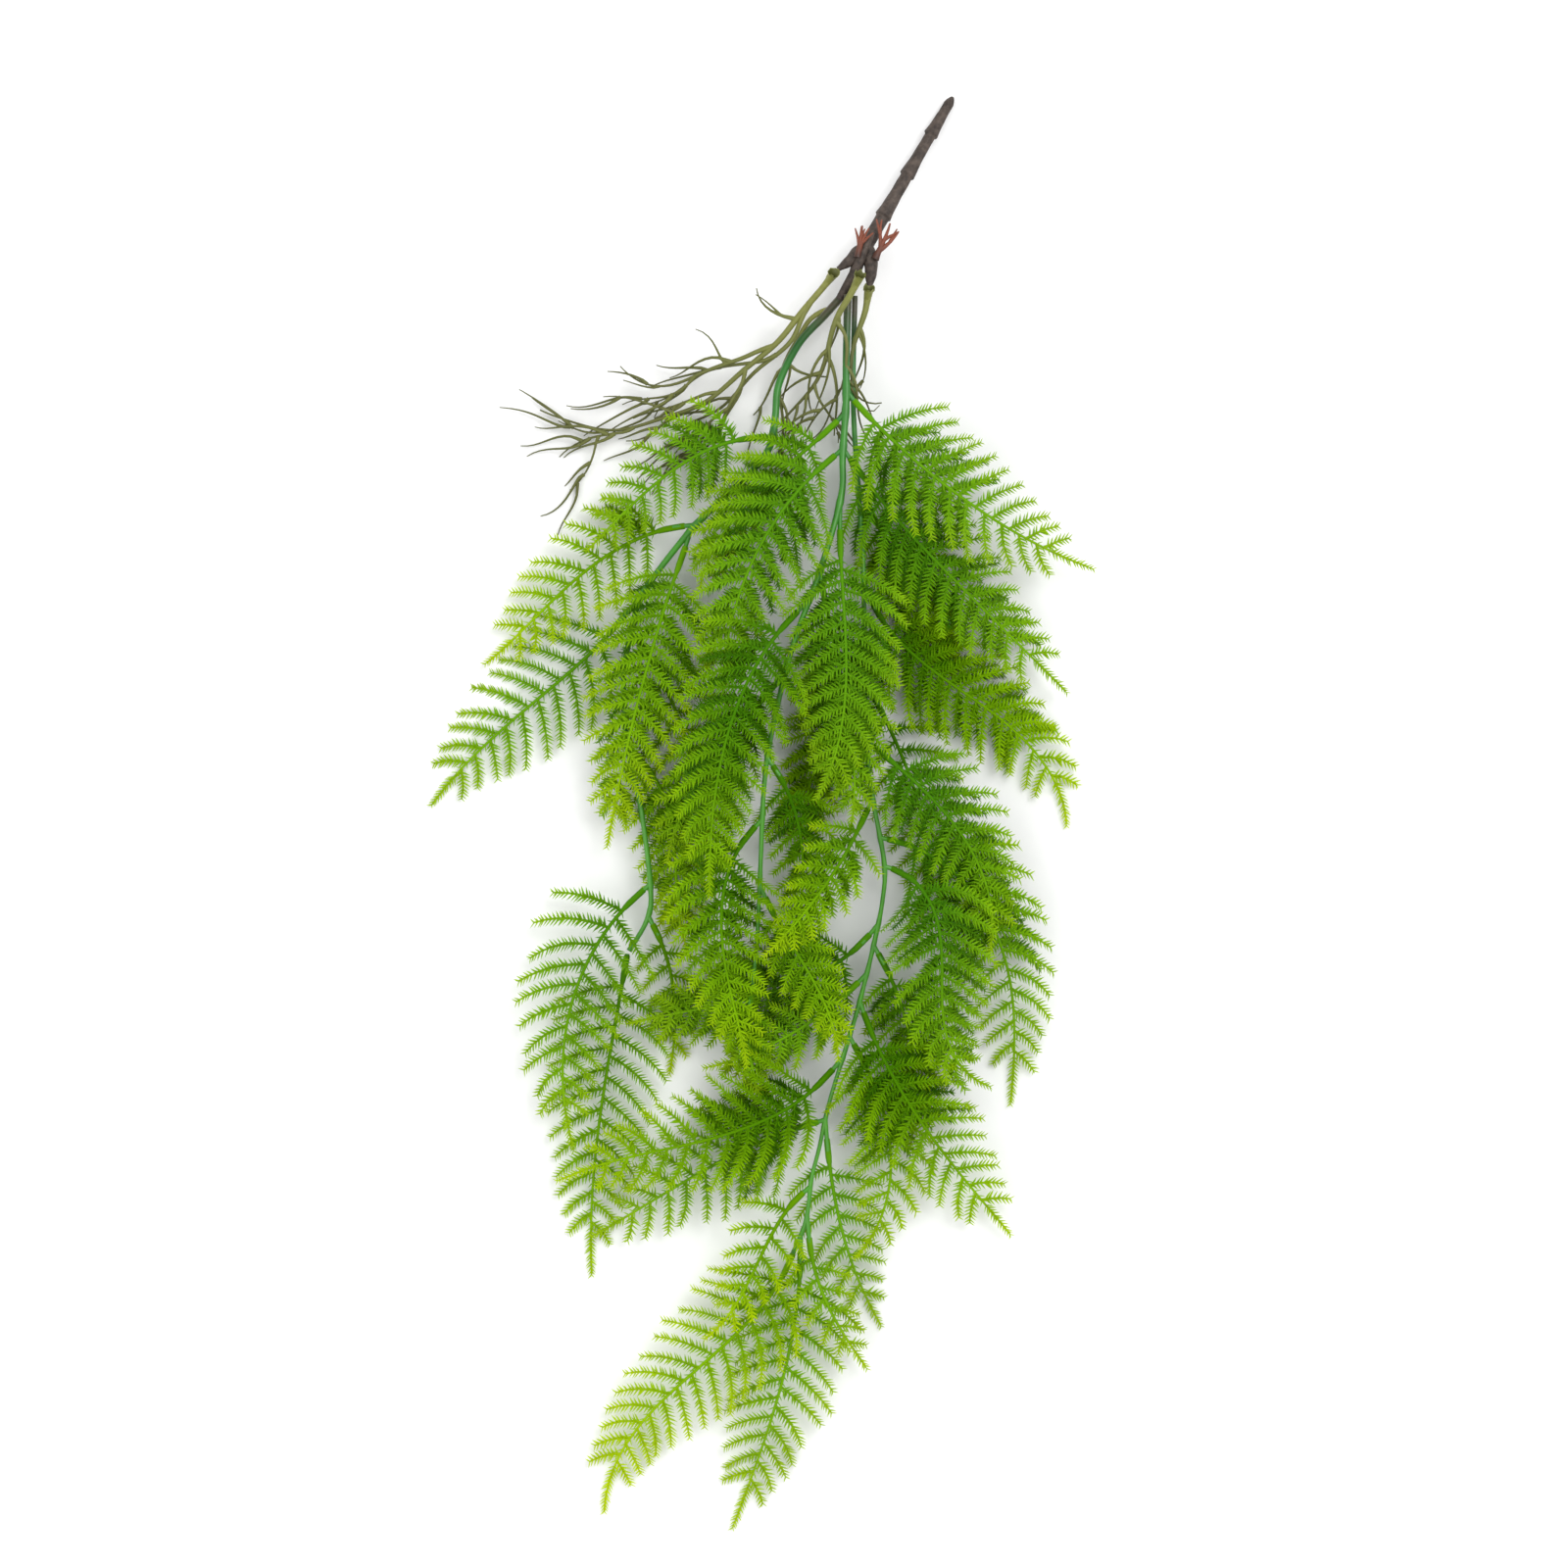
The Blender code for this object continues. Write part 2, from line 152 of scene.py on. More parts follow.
STEMS = {
    "left": StemPlan(
        2.6, 21.0, 2.3, 1.3,
        (
            (46, 285), (36, 274), (22, 259), (11, 237), (9, 219), (6, 202), (-5, 187),
            (-19, 174), (-40, 153), (-64, 121), (-70, 102), (-75, 75), (-73, 37),
            (-65, -1), (-60, -43), (-62, -60), (-73, -79),
        ),
    ),
    "mid": StemPlan(
        5.0, 27.0, 2.2, 1.1,
        (
            (49, 285), (48, 245), (48, 226), (46, 195), (45, 172), (33, 130), (19, 92),
            (8, 48), (3, 15), (1, -28), (-1, -71), (-4, -98),
        ),
    ),
    "right": StemPlan(
        3.5, 20.5, 1.6, 1.1,
        (
            (53, 285), (52, 231), (54, 188), (57, 145), (58, 102), (59, 50), (60, 25),
            (63, 5), (69, -29), (68, -49), (64, -70), (56, -103), (49, -127),
            (39, -160), (33, -187), (29, -203), (26, -226), (19, -244),
        ),
    ),
}

FRONDS = {
    "left": (
        FrondPlan(0.22, 120, (-178, -143, -135), 3.8, 0.1),
        FrondPlan(0.38, 135, (-175, -140, -140), 2.3, 0.5),
        FrondPlan(0.39, 170, (-108, -105, -100), 5.4, 0.45),
        FrondPlan(0.50, 152, (-130, -140, -125), 0.6, 0.9),
        FrondPlan(0.55, 150, (-55, -75, -85), 0.8, 0.2),
        FrondPlan(0.71, 115, (-40, -85, -70), 1.9, 0.1),
        FrondPlan(0.90, 155, (-140, -105, -75), 3.7, 0.1),
        FrondPlan(1.00, 180, (-100, -98, -87), 1.5, 1.0),
        FrondPlan(0.94, 85, (-62, -85, -100), 0.8, 0.9),
    ),
    "mid": (
        FrondPlan(0.14, 160, (-50, -35, -20), 6.2, 0.4),
        FrondPlan(0.22, 175, (-55, -45, -45), 4.3, 0.4),
        FrondPlan(0.22, 150, (-140, -115, -90), 6.3, 0.1),
        FrondPlan(0.30, 150, (-90, -90, -120), 5.8, 0.2),
        FrondPlan(0.44, 165, (-135, -105, -90), 7.3, 0.05),
        FrondPlan(0.40, 135, (-80, -80, -100), 4.4, 0.0),
        FrondPlan(0.55, 115, (-130, -125, -100), 3.9, 0.2),
        FrondPlan(0.67, 100, (-55, -85, -105), 3.1, 0.0),
        FrondPlan(0.76, 135, (-135, -85, -80), 6.0, 0.05),
        FrondPlan(1.00, 60, (-100, -85, -75), 4.4, 0.0),
        FrondPlan(0.85, 95, (-65, -60, -85), 5.4, 0.0),
        FrondPlan(0.17, 122, (-135, -135, -100), 4.6, 0.0),
    ),
    "right": (
        FrondPlan(0.30, 170, (-65, -35, -85), 2.1, 0.9),
        FrondPlan(0.20, 120, (-60, -65, -90), 1.8, 0.6),
        FrondPlan(0.46, 135, (-40, -55, -100), 5.0, 0.05),
        FrondPlan(0.56, 180, (-10, -70, -95), 4.1, 1.0),
        FrondPlan(0.59, 140, (-15, -90, -20), 6.2, 0.1),
        FrondPlan(0.73, 150, (-70, -55, -50), 5.1, 0.7),
        FrondPlan(0.65, 145, (-130, -165, -165), 2.3, 0.1),
        FrondPlan(0.79, 165, (-130, -165, -155), 5.2, 0.4),
        FrondPlan(0.86, 140, (-165, -150, -150), 2.7, 0.5),
        FrondPlan(0.86, 110, (-85, -75, -60), 2.1, 1.0),
        FrondPlan(0.77, 125, (-60, -85, -130), 3.7, 0.4),
        FrondPlan(0.93, 95, (-140, -115, -140), 5.0, 0.1),
        FrondPlan(1.00, 184, (-110, -138, -92), 3.5, 1.0),
        FrondPlan(0.98, 159, (-90, -105, -110), 2.5, 1.0),
        FrondPlan(0.96, 80, (-85, -65, -55), 4.3, 0.5),
        FrondPlan(0.52, 95, (-115, -125, -135), 7.0, 0.0),
        FrondPlan(0.34, 120, (-105, -110, -90), 1.5, 0.3),
        FrondPlan(0.40, 130, (-60, -75, -105), 0.7, 0.6),
        FrondPlan(0.67, 110, (-60, -80, -100), 2.7, 0.3),
        FrondPlan(0.70, 95, (-135, -150, -165), 3.7, 0.0),
    ),
}

# Root sprays: start in mm, whether an open collar sits at the start, then strands.
ROOTS = {
    "root_spray_left": (
        (40.5, 295.5, 26.0),
        True,
        (
            Strand(None, 0.0, 196, (-128, -150, -212), 1.5, 0.35, 4.0),
            Strand(0, 0.26, 92, (-168, -162, -228), 1.1, 0.25, 9.0),
            Strand(1, 0.50, 44, (-128, -170, -150), 0.7, 0.22, 5.0),
            Strand(0, 0.16, 28, (-195, -220, -262), 0.9, 0.25, 24.0),
            Strand(0, 0.46, 50, (-180, -165, -150), 0.8, 0.25, 5.0),
            Strand(0, 0.60, 42, (-225, -190, -175), 0.7, 0.22, 8.0),
            Strand(0, 0.72, 46, (-140, -172, -130), 0.7, 0.25, 2.5),
            Strand(0, 0.36, 60, (-95, -118, -125), 0.9, 0.3, 3.0),
            Strand(0, 0.10, 96, (-118, -138, -150), 1.2, 0.45, 7.0),
            Strand(8, 0.35, 70, (-150, -175, -150), 0.9, 0.3, 6.0),
            Strand(8, 0.62, 52, (-100, -135, -120), 0.8, 0.3, 4.0),
            Strand(9, 0.45, 48, (-170, -150, -170), 0.7, 0.25, 5.0),
            Strand(1, 0.30, 26, (-215, -235, -200), 0.6, 0.22, 12.0),
            Strand(1, 0.72, 22, (-150, -190, -200), 0.5, 0.2, 9.0),
            Strand(0, 0.80, 30, (-150, -190, -215), 0.6, 0.2, 3.0),
            Strand(6, 0.45, 34, (-120, -118, -128), 0.6, 0.25, 2.0),
            Strand(4, 0.50, 34, (-120, -150, -175), 0.6, 0.25, 3.0),
            Strand(7, 0.40, 40, (-150, -140, -110), 0.7, 0.25, 2.5),
            Strand(3, 0.30, 18, (-230, -215, -195), 0.5, 0.2, 24.0),
        ),
    ),
    "root_spray_mid": (
        (55.0, 293.0, 35.5),
        True,
        (
            Strand(None, 0.0, 88, (-118, -112, -140), 1.6, 0.45, 9.0),
            Strand(0, 0.52, 44, (-45, -95, -85), 0.9, 0.3, 12.0),
            Strand(0, 0.62, 26, (-168, -150, -120), 0.8, 0.3, 8.0),
            Strand(0, 0.30, 56, (-45, -80, 10), 0.9, 0.3, 24.0),
            Strand(3, 0.66, 22, (-40, -50, 70), 0.6, 0.2, 26.0),
            Strand(0, 0.48, 36, (-150, -100, -70), 0.8, 0.3, 10.0),
            Strand(1, 0.55, 30, (-160, -140, -110), 0.7, 0.25, 9.0),
            Strand(0, 0.70, 34, (-80, -60, -100), 0.7, 0.25, 8.0),
            Strand(3, 0.45, 20, (-95, -100, -120), 0.6, 0.2, 20.0),
        ),
    ),
    "root_spray_right": (
        (60.5, 287.0, 26.0),
        True,
        (
            Strand(None, 0.0, 52, (-100, -102, -92), 1.6, 0.5, 24.0),
            Strand(0, 0.40, 34, (-62, -95, -118), 0.8, 0.25, 8.0),
            Strand(0, 0.44, 30, (-70, -90, -112), 0.6, 0.25, 10.0),
        ),
    ),
    "root_spray_dark": (
        (38.0, 277.5, 17.5),
        False,
        (
            Strand(None, 0.0, 96, (-168, -97, -108), 1.2, 0.4, 3.0),
            Strand(0, 0.45, 30, (-150, -120, -128), 0.8, 0.3, 4.0),
            Strand(0, 0.40, 26, (-50, -20, -10), 0.8, 0.3, 9.0),
            Strand(0, 0.62, 34, (-60, -95, -75), 0.7, 0.3, 4.0),
        ),
    ),
    "rootlet_left": (
        (54.2, 305.0, 29.8),
        False,
        (
            Strand(None, 0.0, 17, (88, 92, 90), 1.3, 0.4, 33.0),
            Strand(0, 0.10, 15, (60, 66, 62), 1.0, 0.35, 34.5),
            Strand(0, 0.35, 10, (100, 112, 105), 0.8, 0.3, 33.0),
            Strand(0, 0.50, 8, (70, 80, 78), 0.7, 0.3, 34.0),
            Strand(1, 0.45, 8, (50, 44, 40), 0.7, 0.3, 33.0),
            Strand(1, 0.40, 8, (84, 80, 70), 0.7, 0.3, 34.0),
        ),
    ),
    "rootlet_right": (
        (64.0, 304.0, 29.5),
        False,
        (
            Strand(None, 0.0, 21, (75, 62, 68), 1.4, 0.4, 33.0),
            Strand(0, 0.25, 15, (36, 42, 50), 1.0, 0.35, 31.5),
            Strand(0, 0.35, 14, (84, 80, 70), 0.9, 0.35, 33.5),
            Strand(0, 0.55, 9, (40, 30, 26), 0.7, 0.3, 32.0),
            Strand(1, 0.50, 8, (64, 70, 66), 0.7, 0.3, 32.0),
            Strand(2, 0.50, 8, (100, 104, 96), 0.7, 0.3, 33.5),
        ),
    ),
}


def linear(colour: str) -> tuple[float, float, float, float]:
    """Turn an sRGB hex colour into linear light.

    Args:
        colour: Six hex digits after a hash sign.

    Returns:
        Red, green, blue and an alpha of 1.
    """
    parts = [int(colour[i : i + 2], 16) / 255 for i in (1, 3, 5)]
    lit = [c / 12.92 if c <= 0.04045 else ((c + 0.055) / 1.055) ** 2.4 for c in parts]
    return (*lit, 1.0)


def ease(value):
    """Smooth step from 0 to 1, for numbers and arrays."""
    value = np.clip(value, 0.0, 1.0)
    return value * value * (3.0 - 2.0 * value)


def heap_depth(x, y):
    """Depth of the heap at (x, y): 1 over its heart, RIM at its edge."""
    across = (x - HEART.x) / HALF_WIDTH
    reach = np.where(y > HEART.y, UPPER_REACH, LOWER_REACH)
    along = (y - HEART.y) / reach
    return RIM + (1.0 - RIM) / (1.0 + np.hypot(across, along) ** 3)


def layer_height(x, y, level):
    """Height of a layer of the heap over the table."""
    return FLOOR_GAP + level * LAYER_PITCH * heap_depth(x, y)


def heading_at(t, headings):
    """Heading in radians at share t of a path with three headings in degrees."""
    first, middle, last = headings
    slope = -3 * first + 4 * middle - last
    curve = 2 * first - 4 * middle + 2 * last
    return np.radians(first + slope * t + curve * t * t)


def walk(start, headings, length, steps):
    """Plan points of a path that turns through its headings.

    Args:
        start: Plan place it sets off from.
        headings: Degrees at base, middle and tip.
        length: Length of the path.
        steps: Number of strides.

    Returns:
        An array of steps + 1 plan points.
    """
    angle = heading_at((np.arange(steps) + 0.5) / steps, headings)
    strides = np.stack([np.cos(angle), np.sin(angle)], axis=1) * (length / steps)
    return np.vstack([start, start + np.cumsum(strides, axis=0)])


def smooth_route(corners, step):
    """Even points along a smooth curve through the given points.

    Args:
        corners: Vectors in two or three dimensions.
        step: Spacing of the points returned.

    Returns:
        A list of vectors.
    """
    padded = [corners[0] * 2 - corners[1], *corners, corners[-1] * 2 - corners[-2]]
    dense = []
    for before, here, after, beyond in zip(padded, padded[1:], padded[2:], padded[3:]):
        for count in range(12):
            t = count / 12
            dense.append(
                0.5
                * (
                    here * 2
                    + (after - before) * t
                    + (before * 2 - here * 5 + after * 4 - beyond) * t**2
                    + (here * 3 - before - after * 3 + beyond) * t**3
                )
            )
    dense.append(corners[-1].copy())
    lengths = [0.0]
    for one, two in zip(dense, dense[1:]):
        lengths.append(lengths[-1] + (two - one).length)
    count = max(2, round(lengths[-1] / step))
    even = []
    index = 0
    for stop in range(count + 1):
        target = lengths[-1] * stop / count
        while index < len(dense) - 2 and lengths[index + 1] < target:
            index += 1
        share = (target - lengths[index]) / max(1e-9, lengths[index + 1] - lengths[index])
        even.append(dense[index].lerp(dense[index + 1], min(1.0, share)))
    return even


def section(centre, direction, radius, sides, squash=1.0, turn=0.0):
    """Corner places of a round or flattened section across a direction."""
    flat = Vector((-direction.y, direction.x, 0.0))
    sideways = flat.normalized() if flat.length > 1e-6 else Vector((1.0, 0.0, 0.0))
    upward = direction.cross(sideways).normalized()
    places = []
    for corner in range(sides):
        angle = 2 * math.pi * (corner + 0.5) / sides - math.pi / 2 + turn
        across = sideways * (-math.cos(angle) * radius)
        places.append(centre + across + upward * (math.sin(angle) * radius * squash))
    return places


def grow_tube(mesh, points, radii, sides, squash=1.0, pointed=False):
    """Extrude a closed tapering tube along a route.

    Args:
        mesh: Working mesh that gains the tube.
        points: Vectors along the middle of the tube.
        radii: Radius at each point.
        sides: Number of sides.
        squash: Height of a section over its width.
        pointed: Draw the far end into one point.

    Returns:
        The vertices of each ring, in order.
    """
    count = len(points)
    ways = []
    for index in range(count):
        ahead = points[min(count - 1, index + 1)] - points[max(0, index - 1)]
        ways.append(ahead.normalized())
    made = bmesh.ops.create_circle(mesh, cap_ends=True, segments=sides, radius=1.0)
    order = list(made["verts"])
    for vert, place in zip(order, section(points[0], ways[0], radii[0], sides, squash)):
        vert.co = place
    face = order[0].link_faces[0]
    face.normal_update()
    if face.normal.dot(ways[0]) > 0:
        face.normal_flip()
    rings = [order]
    edges = list(face.edges)
    for index in range(1, count):
        out = bmesh.ops.extrude_edge_only(mesh, edges=edges)["geom"]
        fresh = [item for item in out if isinstance(item, bmesh.types.BMVert)]
        edges = [item for item in out if isinstance(item, bmesh.types.BMEdge)]
        edges = [edge for edge in edges if set(edge.verts) <= set(fresh)]
        near = {}
        for vert in fresh:
            near[vert.co.copy().freeze()] = vert
        order = [near[old.co.copy().freeze()] for old in order]
        places = section(points[index], ways[index], radii[index], sides, squash)
        for vert, place in zip(order, places):
            vert.co = place
        rings.append(order)
    if pointed:
        bmesh.ops.pointmerge(mesh, verts=order, merge_co=points[-1])
    else:
        mesh.faces.new(order)
    return rings


def publish(mesh, name, material, replaced, angle=50.0):
    """Make a finished piece out of a working mesh, attach it to the root body and hide the CAD
    nodes it replaces.

    Args:
        mesh: Working mesh, freed here.
        name: Name of the piece.
        material: Its material.
        replaced: CAD nodes it stands for.
        angle: Crease angle in degrees above which an edge stays sharp.

    Returns:
        The new object.
    """
    bmesh.ops.recalc_face_normals(mesh, faces=mesh.faces[:])
    data = bpy.data.meshes.new(name)
    mesh.to_mesh(data)
    mesh.free()
    data.materials.append(material)
    data.shade_smooth()
    data.set_sharp_from_angle(angle=math.radians(angle))
    piece = bpy.data.objects.new(name, data)
    bpy.context.scene.collection.objects.link(piece)
    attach(piece, "root")
    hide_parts(*replaced)
    print(f"made {name} with {len(data.polygons)} faces")
    return piece


def store(data, name, values):
    """Keep one number for each vertex under a name that materials can read."""
    layer = data.attributes.new(name, "FLOAT", "POINT")
    layer.data.foreach_set("value", np.asarray(values, dtype=np.float32))


class Shader:
    """A material's node tree, built one linked node at a time."""

    def __init__(self, name: str) -> None:
        """Start a material with a Principled shader."""
        self.material = bpy.data.materials.new(name)
        self.material.use_nodes = True
        self.tree = self.material.node_tree
        self.out = self.tree.nodes["Principled BSDF"]

    def add(self, kind: str, settings=None, links=None):
        """Add a node.

        Args:
            kind: Node class name.
            settings: Node properties, or socket values where the key is a socket.
            links: Sockets to feed, each with the output that feeds it.

        Returns:
            The node.
        """
        node = self.tree.nodes.new(kind)
        for key, value in (settings or {}).items():
            if isinstance(key, str) and hasattr(node, key):
                setattr(node, key, value)
            else:
                node.inputs[key].default_value = value
        for key, source in (links or {}).items():
            self.tree.links.new(source, node.inputs[key])
        return node

    def ramp(self, source, stops):
        """Map a number to colours at given places."""
        node = self.add("ShaderNodeValToRGB", {}, {0: source})
        band = node.color_ramp
        while len(band.elements) < len(stops):
            band.elements.new(0.5)
        for element, (place, colour) in zip(band.elements, stops):
            element.position = place
            element.color = linear(colour)
        return node.outputs[0]

    def noise(self, scale: float, detail: float, stretch=(1.0, 1.0, 1.0)):
        """Noise over the object's own coordinates, in cycles a metre."""
        where = self.add("ShaderNodeTexCoord")
        mapped = self.add(
            "ShaderNodeMapping", {"Scale": stretch}, {0: where.outputs["Object"]}
        )
        return self.add(
            "ShaderNodeTexNoise",
            {"Scale": scale, "Detail": detail, "Roughness": 0.6},
            {"Vector": mapped.outputs[0]},
        ).outputs[0]

    def reading(self, name: str):
        """A number kept on the vertices."""
        node = self.add("ShaderNodeAttribute", {"attribute_name": name})
        return node.outputs["Fac"]

    def mix(self, factor, one, two, how="MIX"):
        """Blend two colours; each may be a socket or a hex colour."""
        node = self.add("ShaderNodeMix", {"data_type": "RGBA", "blend_type": how})
        for index, value in ((0, factor), (6, one), (7, two)):
            if isinstance(value, str):
                node.inputs[index].default_value = linear(value)
            elif isinstance(value, (int, float)):
                node.inputs[index].default_value = value
            else:
                self.tree.links.new(value, node.inputs[index])
        return node.outputs[2]

    def between(self, source, low, high, first=0.0, last=1.0):
        """Rescale a number from one range to another, held at the ends."""
        return self.add(
            "ShaderNodeMapRange",
            {1: low, 2: high, 3: first, 4: last},
            {0: source},
        ).outputs[0]

    def finish(self, colour, roughness, bump=None, strength=0.2, depth=0.0002):
        """Wire the colour, roughness and relief into the shader."""
        self.tree.links.new(colour, self.out.inputs["Base Color"])
        self.tree.links.new(roughness, self.out.inputs["Roughness"])
        if bump is not None:
            relief = self.add(
                "ShaderNodeBump",
                {"Strength": strength, "Distance": depth},
                {"Height": bump},
            )
            self.tree.links.new(relief.outputs[0], self.out.inputs["Normal"])
        return self.material


@dataclass(frozen=True)
class BrownPlastic:
    """Matt moulded stem plastic: mottled grey-brown with fine bark-like grain."""

    dark: str = "#2f2824"
    light: str = "#5c5048"

    def build(self):
        """Make the material."""
        made = Shader("brown_stem_plastic")
        mottle = made.noise(260.0, 4.0)
        colour = made.ramp(mottle, ((0.32, self.dark), (0.72, self.light)))
        grain = made.noise(1400.0, 3.0)
        rough = made.between(grain, 0.3, 0.7, 0.55, 0.72)
        made.out.inputs["Specular IOR Level"].default_value = 0.35
        return made.finish(colour, rough, grain, 0.35, 0.0003)


@dataclass(frozen=True)
class RussetPlastic:
    """Soft russet plastic of the small rootlets, browner where they join the stem."""

    root: str = "#3b261d"
    tip: str = "#84452f"

    def build(self):
        """Make the material."""
        made = Shader("russet_rootlet_plastic")
        age = made.reading("age")
        colour = made.ramp(age, ((0.0, self.root), (0.6, self.tip)))
        fleck = made.noise(900.0, 2.0)
        colour = made.mix(made.between(fleck, 0.4, 0.8, 0.0, 0.35), colour, self.root)
        rough = made.between(fleck, 0.3, 0.7, 0.48, 0.6)
        return made.finish(colour, rough, fleck, 0.2, 0.0002)


@dataclass(frozen=True)
class OlivePlastic:
    """Olive root plastic that browns towards the hair tips."""

    base: str = "#848642"
    middle: str = "#6b7034"
    tip: str = "#575a2a"

    def build(self):
        """Make the material."""
        made = Shader("olive_root_plastic")
        age = made.reading("age")
        stops = ((0.0, self.base), (0.35, self.middle), (0.85, self.tip))
        colour = made.ramp(age, stops)
        fleck = made.noise(320.0, 3.0)
        colour = made.mix(made.between(fleck, 0.45, 0.8, 0.0, 0.45), colour, self.tip)
        rough = made.between(fleck, 0.3, 0.7, 0.42, 0.55)
        made.out.inputs["Specular IOR Level"].default_value = 0.4
        return made.finish(colour, rough, fleck, 0.15, 0.0002)


@dataclass(frozen=True)
class GreenTube:
    """Smooth satin stem tube: brown at the crown, cool green below it."""

    brown: str = "#4a4234"
    deep: str = "#205c20"
    fresh: str = "#35802a"

    def build(self):
        """Make the material."""
        made = Shader("green_stem_plastic")
        age = made.reading("age")
        stops = ((0.04, self.brown), (0.13, self.deep), (0.24, self.fresh), (0.9, "#4a9420"))
        colour = made.ramp(age, stops)
        cloud = made.noise(90.0, 2.0)
        colour = made.mix(made.between(cloud, 0.35, 0.7, 0.0, 0.35), colour, self.deep)
        rough = made.between(cloud, 0.3, 0.7, 0.30, 0.42)
        made.out.inputs["Subsurface Weight"].default_value = 0.08
        made.out.inputs["Subsurface Scale"].default_value = 0.002
        return made.finish(colour, rough, made.noise(2200.0, 2.0), 0.08, 0.0001)


@dataclass(frozen=True)
class FrondPlastic:
    """Soft frond plastic: mid green in the heart, yellow-green at every tip, with painted shade
    darkening the heap's heart and the shoots below the rachis.

    A little light passes into the thin needles, so they glow instead of going black.
    """

    heart: str = "#3d7202"
    middle: str = "#7fae06"
    tip: str = "#c2d80c"
    cool: str = "#4c8f1c"

    def build(self):
        """Make the material."""
        made = Shader("green_frond_plastic")
        # On fronds the age numbers also carry painted shade: darker deep in the heap and below
        # the rachis, lighter at its rim.
        age = made.reading("age")
        stops = ((0.0, self.heart), (0.42, self.middle), (0.95, self.tip))
        colour = made.ramp(age, stops)
        tone = made.reading("tone")
        colour = made.mix(made.between(tone, 0.3, 1.0, 0.0, 0.5), colour, self.cool)
        cloud = made.noise(55.0, 3.0)
        colour = made.mix(made.between(cloud, 0.4, 0.75, 0.0, 0.3), colour, self.heart)
        rough = made.between(cloud, 0.3, 0.7, 0.42, 0.55)
        made.out.inputs["Subsurface Weight"].default_value = 0.22
        made.out.inputs["Subsurface Scale"].default_value = 0.003
        made.out.inputs["Subsurface Radius"].default_value = (0.9, 1.0, 0.05)
        made.out.inputs["Specular IOR Level"].default_value = 0.3
        made.out.inputs["Specular Tint"].default_value = linear("#a6d03c")
        return made.finish(colour, rough, made.noise(1500.0, 2.0), 0.06, 0.0001)


class StemLine:
    """The centre line of a green stem, shared with the fronds that sit on it."""

    def __init__(self, plan: StemPlan) -> None:
        """Lay the stem's route over the heap."""
        self.plan = plan
        corners = [Vector((x * MM, y * MM)) for x, y in plan.route]
        self.flat = smooth_route(corners, 0.002)

    def radius(self, share: float) -> float:
        """Radius of the stem at a share of its length."""
        return (self.plan.thick + (self.plan.thin - self.plan.thick) * share**0.7) * MM

    def height(self, spot) -> float:
        """Height of the stem's middle over a plan place."""
        lying = layer_height(spot.x, spot.y, self.plan.level)
        settled = ease((self.flat[0].y - spot.y) / CROWN_REACH)
        return float(self.plan.crown * MM * (1.0 - settled) + lying * settled)

    def start_of(self, frond: FrondPlan):
        """Plan place just clear of the stem where a frond begins, and its stem place."""
        index = min(len(self.flat) - 1, round(frond.share * (len(self.flat) - 1)))
        angle = math.radians(frond.headings[0])
        outward = Vector((math.cos(angle), math.sin(angle)))
        after = self.flat[min(len(self.flat) - 1, index + 1)]
        along = (after - self.flat[max(0, index - 2)]).normalized()
        slant = abs(along.x * outward.y - along.y * outward.x)
        if frond.share > 0.995:
            clear = FIT_GAP + 0.0004
        else:
            reach = self.radius(frond.share) + SOCKET_RADIUS
            clear = reach / max(0.25, slant) + FIT_GAP
        return self.flat[index] + outward * clear, self.flat[index]


class GreenStem:
    """A trailing stem with a swelling and a peg where each frond is slipped on."""

    SIDES = 10
    SWELL = 0.28
    SWELL_WIDTH = 0.004
    PEG_RADIUS = 0.0013

    def __init__(self, side: str, line: StemLine, fronds, material) -> None:
        """Build the stem and its pegs as one piece."""
        mesh = bmesh.new()
        spots = [line.flat[i] for i in range(0, len(line.flat), 2)]
        points, radii = [], []
        count = len(spots) - 1
        for index, spot in enumerate(spots):
            share = index / count
            swell = 0.0
            for frond in fronds:
                away = (share - frond.share) * count * 0.004 / self.SWELL_WIDTH
                swell = max(swell, math.exp(-away * away))
            points.append(Vector((spot.x, spot.y, line.height(spot))))
            radii.append(line.radius(share) * (1.0 + self.SWELL * swell))
        grow_tube(mesh, points, radii, self.SIDES)
        for frond in fronds:
            start, root = line.start_of(frond)
            outward = (start - root).normalized()
            tip = start + outward * 0.007
            level = line.height(root)
            peg = [Vector((p.x, p.y, level)) for p in (root, start, tip)]
            width = self.PEG_RADIUS
            grow_tube(mesh, peg, [width * 1.15, width, width * 0.8], 8)
        self.piece = publish(
            mesh, f"green_stem_{side}", material, (f"stem_{side}",)
        )
        data = self.piece.data
        co = np.empty(len(data.vertices) * 3, dtype=np.float32)
        data.vertices.foreach_get("co", co)
        away = np.clip((0.287 - co.reshape(-1, 3)[:, 1]) / 0.22, 0.0, 1.0)
        store(data, "age", away)


class NeedleMould:
    """One flattened needle along +X, drawn to a point."""

    def __init__(self, size: NeedleSize) -> None:
        """Extrude the needle and keep it as mesh data."""
        mesh = bmesh.new()
        points = [
            Vector((-0.0002, 0.0, 0.0)),
            Vector((size.length * 0.55, 0.0, 0.0001)),
            Vector((size.length, 0.0, -0.0001)),
        ]
        radii = [size.width * 0.62, size.width * 0.46, size.width * 0.1]
        grow_tube(mesh, points, radii, 4, size.flatness, pointed=True)
        bmesh.ops.recalc_face_normals(mesh, faces=mesh.faces[:])
        self.data = bpy.data.meshes.new("needle_mould")
        mesh.to_mesh(self.data)
        mesh.free()


def copy_in(mesh, data, matrix):
    """Copy mesh data into a working mesh and put it in place."""
    before = len(mesh.verts)
    mesh.from_mesh(data)
    mesh.verts.ensure_lookup_table()
    bmesh.ops.transform(mesh, matrix=matrix, verts=mesh.verts[before:])


